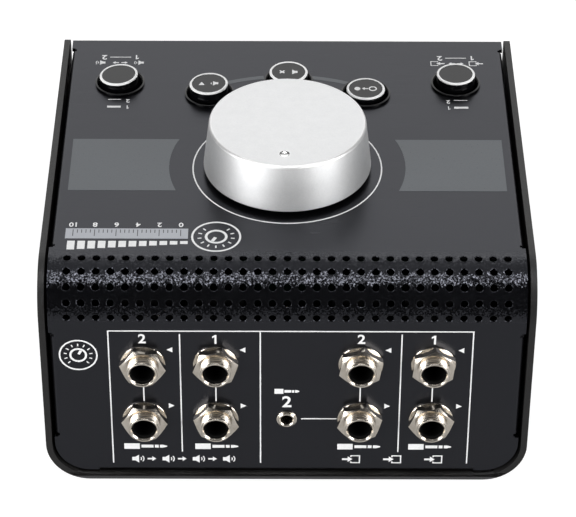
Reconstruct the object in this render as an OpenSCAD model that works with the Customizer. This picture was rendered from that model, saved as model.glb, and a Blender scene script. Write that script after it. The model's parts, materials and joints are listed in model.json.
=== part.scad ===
// Desktop studio monitor controller: a wedge-shaped steel case with one big level knob,
// five push buttons and nine jack sockets. Millimetres. +Z is up, the user sits at -Y,
// the sockets face +Y, and the origin is under the middle of the case on the surface it stands on.
//
// Most pieces are placed in the frame of the cover: its top plate is z = 0, its rear plate is y = 0,
// and the two meet at an imagined sharp corner that is the origin of that frame.

/* [Case] */
// Width over the two side walls
body_w = 145.5; // [144:0.5:150]
// Slope of the top plate above the desk, in degrees
wedge_tilt = 17; // [15:0.5:18]
// Length of the top plate from the imagined rear corner to the front face
top_len = 131; // [130:0.5:134]
// Length of the rear plate from the imagined rear corner to the underside of the base
rear_len = 74.65; // [74:0.05:77]
// Outer radius of the big bend between the top plate and the rear plate
bend_r = 13.34; // [12.5:0.02:14]
// Thickness of the sheet that the base is folded from
base_t = 1.9; // [1.5:0.1:2.2]
// Thickness of the sheet that the cover is folded from
cover_t = 1.2; // [1:0.1:1.5]
// How far the edges of the side walls stand proud of the cover
wall_proud = 0.85; // [0.4:0.05:1.2]
// Outer radius of the bends between the base floor and the side walls
floor_bend_r = 13; // [12:0.5:18]
// Height of the rubber feet
foot_h = 3; // [2.5:0.5:5]

/* [Vents] */
// Number of vent holes in one row
vent_cols = 31; // [11:2:31]
// Distance between vent holes along a row
vent_pitch = 4.3; // [3.8:0.1:4.4]
// Diameter of a vent hole
vent_d = 2.35; // [1.5:0.05:2.8]

/* [Knob] */
// Distance from the imagined rear corner to the knob's axis
knob_back = 58.1; // [56:0.1:60]
// Radius of the knob at its lower edge
knob_base_r = 25.6; // [24:0.1:27]
// Radius of the knob at its top
knob_top_r = 23.8; // [22:0.1:25]
// Height of the knob's lower edge above the top plate
knob_gap = 1.73; // [1.6:0.01:2.5]
// Height of the knob's top above the top plate
knob_top_z = 17.14; // [16:0.02:20]

/* [Buttons] */
// Outer radius of the white ring on a button
ring_r = 6.1; // [6:0.05:6.4]
// Height of a released button above the top plate
button_up = 4; // [3.5:0.1:5]
// How far a latched button stays down
latch_drop = 1.6; // [1:0.1:2]
// Radius of the arc of the three middle buttons about the knob's axis
arc_r = 47.25; // [46:0.05:48.5]
// Angle between neighbours on that arc
arc_step = 31.8; // [30:0.1:34]
// Distance of a selector button from the middle of the case
select_x = 53.8; // [52:0.1:55]
// Distance of a selector button from the imagined rear corner
select_back = 104.3; // [102:0.1:106]

/* [Jacks] */
// Distance of the inner jack columns from the middle
jack_x_in = 21.5; // [20:0.1:22]
// Distance of the outer jack columns from the middle
jack_x_out = 43; // [42:0.1:45]
// Depth of the upper jack row below the imagined rear corner
jack_v_top = 30.05; // [29:0.05:31]
// Depth of the lower jack row below the imagined rear corner
jack_v_low = 51.4; // [51:0.05:52]
// Bore radius of a large jack
jack_bore_r = 3.25; // [3.2:0.01:3.3]
// Bore radius of the small jack
mini_bore_r = 1.8; // [1.77:0.01:1.85]
// Turn of each nut from flat, upper row then lower row, from +X to -X, in degrees
nut_turn = [-7, 12.5, 21.5, 25.5, -2, -10.5, 13.3, 9];

/* [Hidden] */
$fn = 64;
s_tilt = sin(wedge_tilt);
c_tilt = cos(wedge_tilt);
eps = 0.05;

// Case outline
front_fold_r = 2;
front_wall_r = 3.6;
front_proud = 0.3;
bottom_fold_r = 1.4;
wall_in_x = body_w / 2 - base_t;
cover_gap = 0.8;
cover_half_w = wall_in_x - cover_gap;
floor_top = foot_h + base_t;
front_reach = (top_len + front_proud - front_wall_r) * c_tilt
    + (wall_proud - front_wall_r) * s_tilt + front_wall_r;
rear_reach = wall_proud * c_tilt + (rear_len + wall_proud * tan(wedge_tilt)) * s_tilt;
corner_y = (front_reach - rear_reach) / 2;
corner_z = foot_h + rear_len * c_tilt;

// Where the cover's front and rear plates meet the floor of the base
floor_back_y = corner_y + (corner_z - floor_top) / c_tilt * s_tilt;
floor_front_y = corner_y - top_len * c_tilt + (corner_z - top_len * s_tilt - floor_top) / c_tilt * s_tilt;

// Folded side flanges of the cover and the relief notches at their ends
flange_x = 69.75;
flange_fold_r = 1.3;
flange_deep = 8;
notch_w = 1;
notch_deep = 1.1;
top_flange = [-124.2, -17.7];
rear_flange = [-58.2, -19];

// Bottom flanges that the case screws hold
tab_half_w = 57;
tab_len = 12;
tab_zone_h = 12;
screw_x = 40;
screw_r = 1.45;
screw_head_r = 2.8;
screw_head_h = 1.7;
screw_len = 5.5;
tab_mid = tab_len / 2 + 0.5;

// Five rows of vent holes round the big bend
vent_rows = 5;
vent_first = 5.5;
vent_step = 20.6;

// Inside: one board under the top plate and one behind the jacks
board_t = 1.6;
control_z = -20;
control_half_w = 65;
control_y = [-122, -38];
spacer_r = 2.75;
spacer_x = 60;
spacer_y = [-118, -44];
board_screw_r = 1.4;
board_screw_deep = 6;
jack_board_y = -28;
jack_board_half_w = 58;
jack_board_z = [-61.5, -19];

// Knob: walls, the finger dimple and the moulded hub
knob_skin = 3.1;
knob_roof = 2.5;
knob_edge = 0.5;
dimple_r = 1.5;
dimple_deep = 0.6;
dimple_at = 17.3;
dimple_turn = 3;
hub_r = 6.5;
hub_foot = 3.1;
hub_plate_t = 1.5;

// Pot
shaft_r = 3;
shaft_play = 0.03;
shaft_top = 12;
shaft_foot = -11.8;
shaft_flat = 1.5;
bushing_r = 3.5;
bushing_top = 2.4;
pot_top = -8;
pot_half = 8.5;
pot_nut_z = 0.5;
pot_nut_h = 1.8;
pot_nut_r = 5.77;
pot_washer_r = 5.6;

// Buttons: ring, cap, bezel and stem
ring_w = 0.75;
ring_h = 0.45;
cap_dish = 0.15;
cap_foot_r = 6.4;
cap_len = 8;
cap_wall = 1.2;
lean_pivot = -1.5;
bezel_r = 7.9;
bezel_bore = 6.9;
bezel_neck = 7.25;
bezel_foot = -3.4;
plunger_w = 3;
plunger_reach = 18;
socket_w = 3.7;
switch_w = 8.5;
switch_top = -10;
pin_r = 0.35;
pin_out = 2;
pin_hole_r = pin_r + 0.1;
SWITCH_PINS = [for (x = [-2.5, 2.5]) for (y = [-2.5, 0, 2.5]) [x, y]];
POT_PINS = [for (x = [-5, 0, 5]) for (y = [-6, 6]) [x, y]];
JACK_PINS = [for (x = [-5, 5]) for (y = [-6, 0, 6]) [x, y]];
MINI_PINS = [for (x = [-3, 3]) for (y = [-3, 3]) [x, y]];
// How far the first three buttons sit beside their even places
button_nudge = [-0.35, -0.17, -0.4];
// One row for each button: x, y, height above the plate, sideways lean in degrees
BUTTONS = [
    [select_x + button_nudge[0], -select_back, button_up - 0.5, 4],
    [arc_r * sin(arc_step) + button_nudge[1], -knob_back - arc_r * cos(arc_step), button_up + 0.2, 2],
    [button_nudge[2], -knob_back - arc_r, button_up, 0],
    [-arc_r * sin(arc_step), -knob_back - arc_r * cos(arc_step), button_up - latch_drop, 0],
    [-select_x, -select_back, button_up + 0.1, 0.5],
];

// Jacks: [x, v] where v is the depth below the imagined rear corner
nose_r = 4.7;
nose_top = 5.6;
nose_foot = -8;
nose_mouth_r = 3.7;
thread_pitch = 0.75;
thread_deep = 0.32;
washer_r = 6.65;
washer_t = 0.5;
nut_flat = 12;
nut_h = 2.5;
jack_w = 16;
jack_tall = 19;
jack_back = -27;
plug_room_r = 3.5;
mini_v = 51.3;
mini_nose_r = 3;
mini_nose_foot = -5;
mini_room_r = 2.4;
mini_room_foot = -18;
jack_shift = -0.35; // all eight sit this far to one side of the plate's middle
JACK_X = [for (x = [jack_x_out, jack_x_in, -jack_x_in, -jack_x_out]) x + jack_shift];
JACKS = [for (v = [jack_v_top, jack_v_low]) for (x = JACK_X) [x, v]];

// Ribbon cable between the boards
ribbon_half_w = 12;
ribbon_t = 0.9;
header_h = 5.4;
header_w = 5;
ribbon_y = -43.5;
ribbon_bend = 8.4;
ribbon_drop = 3;

// ---------- frames ----------

// Puts children from the cover's frame into the frame of the whole case
module on_cover() {
    translate([0, corner_y, corner_z])
        rotate([wedge_tilt, 0, 0])
            children();
}

// Puts children on the rear plate: z points out of it, x stays x, y runs down the plate
module on_rear(x, v) {
    on_cover()
        translate([x, 0, -v])
            rotate([-90, 0, 0])
                children();
}

// Puts children on the top plate, with z out of it
module on_top(x, y) {
    on_cover()
        translate([x, y, 0])
            children();
}

// Extrudes a side view, drawn as (y, z), across the given half width
module across(half_w) {
    rotate([90, 0, 90])
        translate([0, 0, -half_w])
            linear_extrude(2 * half_w)
                children();
}

// Solder pins down through the control board, at the given offsets
module control_pins(offsets) {
    for (p = offsets)
        translate([p[0], p[1], control_z - board_t - pin_out])
            cylinder(h = board_t + pin_out, r = pin_r);
}

// Solder pins from the back of a jack through the jack board
module jack_board_pins(offsets) {
    foot = jack_board_y - board_t - pin_out / 2;
    for (p = offsets)
        translate([p[0], p[1], foot])
            cylinder(h = jack_back - foot, r = pin_r);
}

// ---------- outlines ----------

// Side view of the case in the cover's frame, grown outwards by g, its corners rounded about fixed
// centres. The floor line lies floor_z above the desk.
module side_outline(g, front_r, front_g, floor_r, floor_z) {
    front_y = -top_len - front_g;
    down = [-s_tilt, -c_tilt];
    floor_at = (floor_z + floor_r - corner_z) / c_tilt;
    c1 = [front_y + front_r, g - front_r];
    c2 = [-bend_r, -bend_r];
    c3 = [g - floor_r, floor_at - (g - floor_r) * s_tilt / c_tilt];
    c4 = [front_y + floor_r, floor_at - (front_y + floor_r) * s_tilt / c_tilt];
    r2 = bend_r + g;
    polygon([
        c1 - [front_r, 0], c1 + [0, front_r],
        c2 + [0, r2], c2 + [r2, 0],
        c3 + [floor_r, 0], c3 + floor_r * down,
        c4 + floor_r * down, c4 - [floor_r, 0],
    ]);
    translate(c1) circle(front_r);
    translate(c2) circle(r2);
    translate(c3) circle(floor_r);
    translate(c4) circle(floor_r);
}

// Cover sheet seen from the side: the outline less the same outline one sheet thickness further in
module sheet_section(floor_r, floor_z) {
    difference() {
        side_outline(0, front_fold_r, 0, floor_r, floor_z);
        side_outline(-cover_t, front_fold_r - cover_t, -cover_t, floor_r - cover_t, floor_z + cover_t);
    }
}

// Rear view of the trough inside the base, from its floor up
module trough(half_w, floor_z, r) {
    tall = 120;
    translate([-half_w, floor_z + r]) square([2 * half_w, tall]);
    translate([-half_w + r, floor_z]) square([2 * (half_w - r), r + 1]);
    for (side = [-1, 1])
        translate([side * (half_w - r), floor_z + r]) circle(r);
}

// Runs a rear view, drawn as (x, z), from front to back through the case
module lengthways() {
    reach = 300;
    translate([0, reach / 2, 0])
        rotate([90, 0, 0])
            linear_extrude(reach)
                children();
}

// ---------- case ----------

// Rear view of the folded base sheet
module base_section() {
    difference() {
        trough(body_w / 2, foot_h, floor_bend_r);
        trough(wall_in_x, floor_top, floor_bend_r - base_t);
    }
}

// Where the four case screws stand on the floor, front pair then rear pair
module at_case_screws() {
    for (x = [-screw_x, screw_x])
        for (y = [floor_front_y + tab_mid, floor_back_y - tab_mid])
            translate([x, y, 0]) children();
}

module base_shell() {
    far = 300;
    far_below = -40;
    color([0.13, 0.12, 0.12])
    difference() {
        lengthways() base_section();
        on_cover() across(body_w)
            difference() {
                translate([-far, -far]) square(2 * far);
                side_outline(wall_proud, front_wall_r, front_proud, 1, far_below);
            }
        at_case_screws() cylinder(h = 20, r = screw_r + 0.25);
    }
}

// One fold along the side edge of a plate: a quarter bend and a short leg, drawn for the +X side
module flange_section() {
    difference() {
        intersection() {
            translate([flange_x - flange_fold_r, -flange_fold_r]) circle(flange_fold_r);
            translate([flange_x - flange_fold_r, -flange_fold_r]) square(flange_fold_r);
        }
        translate([flange_x - flange_fold_r, -flange_fold_r]) circle(flange_fold_r - cover_t);
    }
    translate([flange_x - cover_t, -flange_deep]) square([cover_t, flange_deep - flange_fold_r]);
}

// The same fold run along both sides of the plate, between two positions along it
module side_flanges(from, to) {
    for (side = [0, 1])
        mirror([side, 0, 0])
            translate([0, to, 0])
                rotate([90, 0, 0])
                    linear_extrude(to - from)
                        flange_section();
}

// Space cleared beside a flange, so that the plate ends where the fold begins
module flange_room(from, to) {
    edge = flange_x - flange_fold_r;
    for (side = [-1, 1])
        translate([side * (edge + 5), (from + to) / 2, 0])
            cube([10, to - from, 3 * cover_t], center = true);
}

// A relief notch in both side edges of the plate
module notches(at) {
    for (side = [-1, 1])
        translate([side * (cover_half_w - notch_deep / 2 + 1), at, 0])
            cube([notch_deep + 2, notch_w, 3 * cover_t], center = true);
}

// Turns things drawn for the top plate onto the rear plate, where -y becomes the depth
module onto_rear() {
    rotate([-90, 0, 0])
        mirror([0, 1, 0])
            children();
}

// Cover before its holes: top, rear and front plates with the open lower edge
module open_sheet() {
    no_floor = -40;
    intersection() {
        on_cover() across(cover_half_w) sheet_section(bottom_fold_r, no_floor);
        lengthways() trough(cover_half_w, floor_top + cover_gap, floor_bend_r - base_t - cover_gap);
    }
}

// The two bottom tabs, folded inwards to lie on the base floor
module bottom_tabs() {
    difference() {
        on_cover() across(tab_half_w) sheet_section(bottom_fold_r, floor_top + eps);
        translate([-tab_half_w - 1, floor_front_y + tab_len, 0])
            cube([2 * tab_half_w + 2, floor_back_y - floor_front_y - 2 * tab_len, tab_zone_h]);
    }
}

// Region in which the bottom tabs take over from the open sheet
module tab_region(half_w) {
    translate([-half_w, -150, 0])
        cube([2 * half_w, 300, tab_zone_h]);
}

module vent_holes() {
    half = (vent_cols - 1) / 2;
    for (row = [0:vent_rows - 1])
        for (col = [-half:half])
            translate([col * vent_pitch, -bend_r, -bend_r])
                rotate([-(vent_first + row * vent_step), 0, 0])
                    translate([0, 0, bend_r - 3])
                        cylinder(h = 5, d = vent_d);
}

module cover_holes() {
    on_cover() vent_holes();
    for (b = BUTTONS)
        on_top(b[0], b[1]) translate([0, 0, -3]) cylinder(h = 6, r = bezel_neck + eps);
    on_top(0, -knob_back) translate([0, 0, -3]) cylinder(h = 6, r = bushing_r + 0.1);
    for (j = JACKS)
        on_rear(j[0], j[1]) translate([0, 0, -3]) cylinder(h = 6, r = nose_r + 0.15);
    on_rear(0, mini_v) translate([0, 0, -3]) cylinder(h = 6, r = mini_nose_r + 0.1);
    at_case_screws() translate([0, 0, 4]) cylinder(h = 10, r = screw_r + 0.02);
}

module cover_panel() {
    color([0.2, 0.2, 0.21])
    difference() {
        union() {
            difference() {
                open_sheet();
                tab_region(tab_half_w);
                on_cover() flange_room(top_flange[0], top_flange[1]);
                on_cover() onto_rear() flange_room(rear_flange[0], rear_flange[1]);
            }
            intersection() {
                bottom_tabs();
                tab_region(tab_half_w);
            }
            on_cover() side_flanges(top_flange[0] + notch_w, top_flange[1] - notch_w);
            on_cover() onto_rear() side_flanges(rear_flange[0] + notch_w, rear_flange[1] - notch_w);
        }
        on_cover() for (at = top_flange) notches(at);
        on_cover() onto_rear() for (at = rear_flange) notches(at);
        cover_holes();
    }
}

module rubber_feet() {
    foot_r = 7;
    front_at = -48;
    rear_at = 56;
    color([0.06, 0.06, 0.06])
    for (x = [-54, 54])
        for (y = [front_at, rear_at])
            translate([x, y, 0])
                rotate_extrude()
                    polygon([[0, 0], [foot_r - 0.6, 0], [foot_r, 0.6], [foot_r, foot_h], [0, foot_h]]);
}

// Crossed slots cut into the face of a screw head
module cross_slots(w, t, deep) {
    for (a = [0, 90])
        rotate([0, 0, a]) translate([-w / 2, -t / 2, -deep]) cube([w, t, 2 * deep]);
}

module case_screws() {
    color([0.25, 0.25, 0.26])
    at_case_screws() {
        difference() {
            union() {
                translate([0, 0, foot_h - screw_head_h])
                    cylinder(h = screw_head_h, r1 = screw_head_r - 0.5, r2 = screw_head_r);
                translate([0, 0, foot_h - 0.5]) cylinder(h = screw_len + 0.5, r = screw_r);
            }
            translate([0, 0, foot_h - screw_head_h]) cross_slots(3, 0.7, 0.9);
        }
    }
}

// ---------- knob and pot ----------

// Radius of the knob's side at a height above the plate
function knob_side_r(z) = knob_base_r
    - (knob_base_r - knob_top_r) * (z - knob_gap) / (knob_top_z - knob_gap);

module knob_cap() {
    roof_z = knob_top_z - knob_roof;
    bite_r = (dimple_r * dimple_r + dimple_deep * dimple_deep) / (2 * dimple_deep);
    color([0.82, 0.82, 0.83])
    on_top(0, -knob_back)
        difference() {
            rotate_extrude()
                polygon([
                    [0, roof_z], [knob_side_r(roof_z) - knob_skin, roof_z],
                    [knob_base_r - knob_skin, knob_gap], [knob_base_r - 0.25, knob_gap],
                    [knob_base_r, knob_gap + 0.25],
                    [knob_side_r(knob_top_z - knob_edge), knob_top_z - knob_edge],
                    [knob_top_r - knob_edge, knob_top_z], [0, knob_top_z],
                ]);
            rotate([0, 0, -dimple_turn])
                translate([0, dimple_at, knob_top_z + bite_r - dimple_deep])
                    sphere(r = bite_r);
        }
}

module knob_hub() {
    roof_z = knob_top_z - knob_roof;
    plate_r = knob_side_r(roof_z) - knob_skin - 0.2;
    color([0.07, 0.07, 0.07])
    on_top(0, -knob_back)
        difference() {
            union() {
                translate([0, 0, hub_foot]) cylinder(h = roof_z - hub_foot, r = hub_r);
                translate([0, 0, roof_z - hub_plate_t]) cylinder(h = hub_plate_t, r = plate_r);
                for (a = [0:60:300])
                    rotate([0, 0, a])
                        translate([hub_r - 0.5, -0.7, roof_z - 5])
                            cube([plate_r - hub_r, 1.4, 5]);
            }
            difference() {
                translate([0, 0, hub_foot - 1]) cylinder(h = shaft_top + 1.2 - hub_foot, r = shaft_r + 0.01);
                translate([-shaft_r - 1, -shaft_r - 2.01, hub_foot + 1.5])
                    cube([2 * shaft_r + 2, shaft_r - shaft_flat + 2, shaft_top]);
            }
        }
}

module pot_shaft() {
    color([0.75, 0.74, 0.7])
    on_top(0, -knob_back)
        difference() {
            translate([0, 0, shaft_foot]) cylinder(h = shaft_top - shaft_foot, r = shaft_r);
            translate([-shaft_r - 1, -shaft_r - 2, hub_foot + 1.4])
                cube([2 * shaft_r + 2, shaft_r - shaft_flat + 2, shaft_top]);
        }
}

module pot_bushing() {
    color([0.72, 0.7, 0.62])
    on_top(0, -knob_back)
        difference() {
            union() {
                translate([0, 0, pot_top]) cylinder(h = bushing_top - pot_top, r = bushing_r);
                translate([0, 0, pot_top]) cylinder(h = 1, r = 6);
            }
            translate([0, 0, pot_top - 1]) cylinder(h = bushing_top - pot_top + 2, r = shaft_r + shaft_play);
        }
}

module pot_body() {
    color([0.1, 0.16, 0.3])
    on_top(0, -knob_back) {
        difference() {
            translate([-pot_half, -pot_half, control_z]) cube([2 * pot_half, 2 * pot_half, pot_top - control_z]);
            translate([0, 0, shaft_foot - 0.2]) cylinder(h = 10, r = shaft_r + 0.1);
        }
        control_pins(POT_PINS);
    }
}

module pot_nut() {
    color([0.75, 0.74, 0.7])
    on_top(0, -knob_back)
        translate([0, 0, pot_nut_z])
            difference() {
                cylinder(h = pot_nut_h, r = pot_nut_r, $fn = 6);
                translate([0, 0, -1]) cylinder(h = pot_nut_h + 2, r = bushing_r + 0.03);
            }
}

module pot_washer() {
    color([0.75, 0.74, 0.7])
    on_top(0, -knob_back)
        difference() {
            cylinder(h = pot_nut_z, r = pot_washer_r);
            translate([0, 0, -1]) cylinder(h = 3, r = bushing_r + 0.05);
        }
}

// ---------- push buttons ----------

// Stands children on the plate at one button, leaning as its cap leans
module at_cap(b) {
    on_top(b[0], b[1])
        translate([0, 0, lean_pivot])
            rotate([0, b[3], 0])
                translate([0, 0, -lean_pivot])
                    children();
}

// Hollow cap with a square socket inside for the plunger
module button_cap(b) {
    top_z = b[2];
    foot_z = top_z - cap_len;
    step_z = top_z - ring_h;
    roof_z = top_z - cap_dish - cap_wall;
    color([0.05, 0.05, 0.05])
    at_cap(b)
        difference() {
            union() {
                difference() {
                    rotate_extrude()
                        polygon([
                            [0, foot_z], [cap_foot_r, foot_z], [ring_r, step_z],
                            [ring_r - ring_w, step_z], [ring_r - ring_w, top_z - cap_dish],
                            [0, top_z - cap_dish],
                        ]);
                    translate([0, 0, foot_z - 1])
                        cylinder(h = roof_z - foot_z + 1, r = ring_r - ring_w - 0.3);
                }
                translate([-socket_w / 2 - 0.9, -socket_w / 2 - 0.9, foot_z])
                    cube([socket_w + 1.8, socket_w + 1.8, roof_z - foot_z + 0.2]);
            }
            translate([-socket_w / 2, -socket_w / 2, foot_z - 1])
                cube([socket_w, socket_w, roof_z - foot_z + 1]);
        }
}

// White ring let into the top edge of the cap
module button_ring(b) {
    in_r = ring_r - ring_w + 0.01;
    foot_z = b[2] - ring_h + 0.01;
    color([0.95, 0.95, 0.95])
    at_cap(b)
        rotate_extrude()
            polygon([
                [in_r, foot_z], [ring_r, foot_z], [ring_r, b[2] - 0.25],
                [ring_r - 0.25, b[2]], [in_r, b[2]],
            ]);
}

// Square stem that carries the cap and slides in the switch
module button_plunger(b) {
    head_z = b[2] - cap_dish - cap_wall - 0.6;
    foot_z = b[2] - plunger_reach;
    color([0.85, 0.85, 0.82])
    on_top(b[0], b[1])
        translate([-plunger_w / 2, -plunger_w / 2, foot_z])
            cube([plunger_w, plunger_w, head_z - foot_z]);
}

module button_bezels() {
    color([0.05, 0.05, 0.05])
    for (b = BUTTONS)
        on_top(b[0], b[1])
            rotate_extrude()
                polygon([
                    [bezel_bore, bezel_foot], [bezel_neck, bezel_foot], [bezel_neck, -cover_t - 0.9],
                    [bezel_neck + 0.2, -cover_t - 0.7], [bezel_neck + 0.2, -cover_t - eps],
                    [bezel_neck, -cover_t - eps], [bezel_neck, 0], [bezel_r, 0], [bezel_r, 0.5],
                    [bezel_r - 0.2, 0.85], [bezel_r - 0.45, 0.9], [bezel_bore, 0.45],
                ]);
}

module switch_bodies() {
    well = switch_top - 8;
    color([0.1, 0.1, 0.12])
    for (b = BUTTONS)
        on_top(b[0], b[1]) {
            difference() {
                translate([-switch_w / 2, -switch_w / 2, control_z])
                    cube([switch_w, switch_w, switch_top - control_z]);
                translate([-plunger_w / 2 - 0.15, -plunger_w / 2 - 0.15, well])
                    cube([plunger_w + 0.3, plunger_w + 0.3, 20]);
            }
            control_pins(SWITCH_PINS);
        }
}

// ---------- boards ----------

module control_board() {
    color([0.05, 0.28, 0.14])
    on_cover()
        difference() {
            translate([-control_half_w, control_y[0], control_z - board_t])
                cube([2 * control_half_w, control_y[1] - control_y[0], board_t]);
            for (b = BUTTONS)
                for (p = SWITCH_PINS)
                    translate([b[0] + p[0], b[1] + p[1], control_z - 5]) cylinder(h = 10, r = pin_hole_r);
            for (p = POT_PINS)
                translate([p[0], p[1] - knob_back, control_z - 5]) cylinder(h = 10, r = pin_hole_r);
            for (x = [-spacer_x, spacer_x])
                for (y = spacer_y)
                    translate([x, y, control_z - 5]) cylinder(h = 10, r = board_screw_r + 0.2);
        }
}

module board_spacers() {
    color([0.8, 0.8, 0.78])
    for (x = [-spacer_x, spacer_x])
        for (y = spacer_y)
            on_top(x, y)
                translate([0, 0, control_z])
                    difference() {
                        cylinder(h = -control_z - cover_t, r = spacer_r, $fn = 6);
                        translate([0, 0, -1]) cylinder(h = board_screw_deep + 2, r = board_screw_r + 0.02);
                    }
}

module board_screws() {
    head_r = 2.6;
    head_h = 1.8;
    slot_len = 2.8;
    slot_w = 0.7;
    slot_deep = 0.9;
    color([0.7, 0.7, 0.7])
    for (x = [-spacer_x, spacer_x])
        for (y = spacer_y)
            on_top(x, y)
                translate([0, 0, control_z - board_t - head_h])
                    difference() {
                        union() {
                            cylinder(h = head_h, r1 = head_r - 0.5, r2 = head_r);
                            cylinder(h = head_h + board_t + board_screw_deep, r = board_screw_r);
                        }
                        cross_slots(slot_len, slot_w, slot_deep);
                    }
}

module jack_board() {
    color([0.05, 0.28, 0.14])
    difference() {
        on_cover()
            translate([-jack_board_half_w, jack_board_y - board_t, jack_board_z[0]])
                cube([2 * jack_board_half_w, board_t, jack_board_z[1] - jack_board_z[0]]);
        for (j = JACKS)
            for (p = JACK_PINS)
                on_rear(j[0] + p[0], j[1] + p[1])
                    translate([0, 0, jack_board_y - 5]) cylinder(h = 10, r = pin_hole_r);
        for (p = MINI_PINS)
            on_rear(p[0], mini_v + p[1])
                translate([0, 0, jack_board_y - 5]) cylinder(h = 10, r = pin_hole_r);
    }
}

module ribbon_headers() {
    color([0.12, 0.12, 0.12])
    on_cover() {
        translate([-ribbon_half_w - 1, ribbon_y - header_w / 2, control_z - board_t - header_h])
            cube([2 * ribbon_half_w + 2, header_w, header_h]);
        translate([-ribbon_half_w - 1, jack_board_y - board_t - header_h, ribbon_end_z() - header_w / 2])
            cube([2 * ribbon_half_w + 2, header_h, header_w]);
    }
}

// The ribbon leaves the upper header downwards and turns to meet the lower one
function ribbon_top_z() = control_z - board_t - header_h;
function ribbon_run() = jack_board_y - board_t - header_h - ribbon_bend - ribbon_y;
function ribbon_end_z() = ribbon_top_z() - ribbon_drop - ribbon_bend;

module ribbon_cable() {
    bend_z = ribbon_top_z() - ribbon_drop;
    bend_y = ribbon_y + ribbon_bend;
    color([0.45, 0.46, 0.48])
    on_cover() across(ribbon_half_w) {
        translate([ribbon_y - ribbon_t / 2, bend_z]) square([ribbon_t, ribbon_drop]);
        difference() {
            intersection() {
                translate([bend_y, bend_z]) circle(ribbon_bend + ribbon_t / 2);
                translate([bend_y - 20, bend_z - 20]) square(20);
            }
            translate([bend_y, bend_z]) circle(ribbon_bend - ribbon_t / 2);
        }
        if (ribbon_run() > 0)
            translate([bend_y, bend_z - ribbon_bend - ribbon_t / 2]) square([ribbon_run(), ribbon_t]);
    }
}

// ---------- jacks ----------

// Plastic body behind the rear plate with a blind plug room and its solder pins
module jack_body(j) {
    color([0.07, 0.07, 0.08])
    on_rear(j[0], j[1]) {
        difference() {
            translate([-jack_w / 2, -jack_tall / 2, jack_back])
                cube([jack_w, jack_tall, -cover_t - eps - jack_back]);
            translate([0, 0, nose_foot]) cylinder(h = 20, r = nose_r + 0.02);
            translate([0, 0, jack_back + 1.5]) cylinder(h = 30, r = plug_room_r);
        }
        jack_board_pins(JACK_PINS);
    }
}

// Threaded nose: a plain barrel below the nut and a row of thread ridges above it
module jack_nose(j) {
    ridge_from = washer_t + nut_h - 0.3;
    ridges = floor((nose_top - 0.35 - ridge_from) / thread_pitch);
    ridge = [for (k = [0:ridges - 1]) each [
        [nose_r, ridge_from + k * thread_pitch + 0.12],
        [nose_r, ridge_from + k * thread_pitch + 0.28],
        [nose_r - thread_deep, ridge_from + (k + 0.5) * thread_pitch + 0.12],
        [nose_r - thread_deep, ridge_from + (k + 0.5) * thread_pitch + 0.22],
    ]];
    color([0.78, 0.74, 0.66])
    on_rear(j[0], j[1])
        rotate_extrude()
            polygon(concat(
                [[jack_bore_r, nose_foot], [nose_r, nose_foot]],
                ridge,
                [
                    [nose_r - 0.45, nose_top - 0.3], [nose_r - 0.65, nose_top], [nose_mouth_r, nose_top],
                    [jack_bore_r, nose_top - 0.45],
                ]
            ));
}

module jack_washers() {
    color([0.78, 0.74, 0.66])
    for (j = JACKS)
        on_rear(j[0], j[1])
            difference() {
                rotate_extrude()
                    polygon([[0, 0], [washer_r, 0], [washer_r, washer_t - 0.15], [washer_r - 0.15, washer_t], [0, washer_t]]);
                translate([0, 0, -1]) cylinder(h = 3, r = nose_r + 0.1);
            }
}

// Chamfered hexagon nuts, each turned as it was tightened
module jack_nuts() {
    corner = nut_flat / sqrt(3);
    face_r = nut_flat / 2 - 0.3;
    outside = corner + 0.5;
    chamfer_slope = 0.55;
    color([0.78, 0.74, 0.66])
    for (i = [0:len(JACKS) - 1])
        on_rear(JACKS[i][0], JACKS[i][1])
            translate([0, 0, washer_t])
                difference() {
                    intersection() {
                        rotate([0, 0, nut_turn[i]]) cylinder(h = nut_h, r = corner, $fn = 6);
                        rotate_extrude()
                            polygon([
                                [0, -1], [outside, -1], [outside, nut_h - chamfer_slope * (outside - face_r)],
                                [face_r, nut_h], [0, nut_h],
                            ]);
                    }
                    translate([0, 0, -1]) cylinder(h = nut_h + 2, r = nose_r + 0.03);
                }
}

module mini_jack_body() {
    half_w = 5.5;
    half_tall = 6;
    color([0.07, 0.07, 0.08])
    on_rear(0, mini_v) {
        difference() {
            translate([-half_w, -half_tall, jack_back])
                cube([2 * half_w, 2 * half_tall, -cover_t - eps - jack_back]);
            translate([0, 0, mini_nose_foot]) cylinder(h = 20, r = mini_nose_r + 0.02);
            translate([0, 0, mini_room_foot]) cylinder(h = 30, r = mini_room_r);
        }
        jack_board_pins(MINI_PINS);
    }
}

// Barrel of the small jack, with a flange on the plate and a raised lip round the bore
module mini_jack_nose() {
    flange_r = mini_nose_r + 0.05;
    flange_h = 0.5;
    lip_r = 2.6;
    lip_h = 0.95;
    color([0.8, 0.8, 0.8])
    on_rear(0, mini_v)
        rotate_extrude()
            polygon([
                [mini_bore_r, mini_nose_foot], [mini_nose_r, mini_nose_foot], [mini_nose_r, 0],
                [flange_r, 0.1], [flange_r, flange_h - 0.15], [flange_r - 0.25, flange_h],
                [lip_r, flange_h], [lip_r, lip_h - 0.15], [lip_r - 0.15, lip_h],
                [mini_bore_r + 0.3, lip_h], [mini_bore_r, lip_h - 0.3],
            ]);
}

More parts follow.
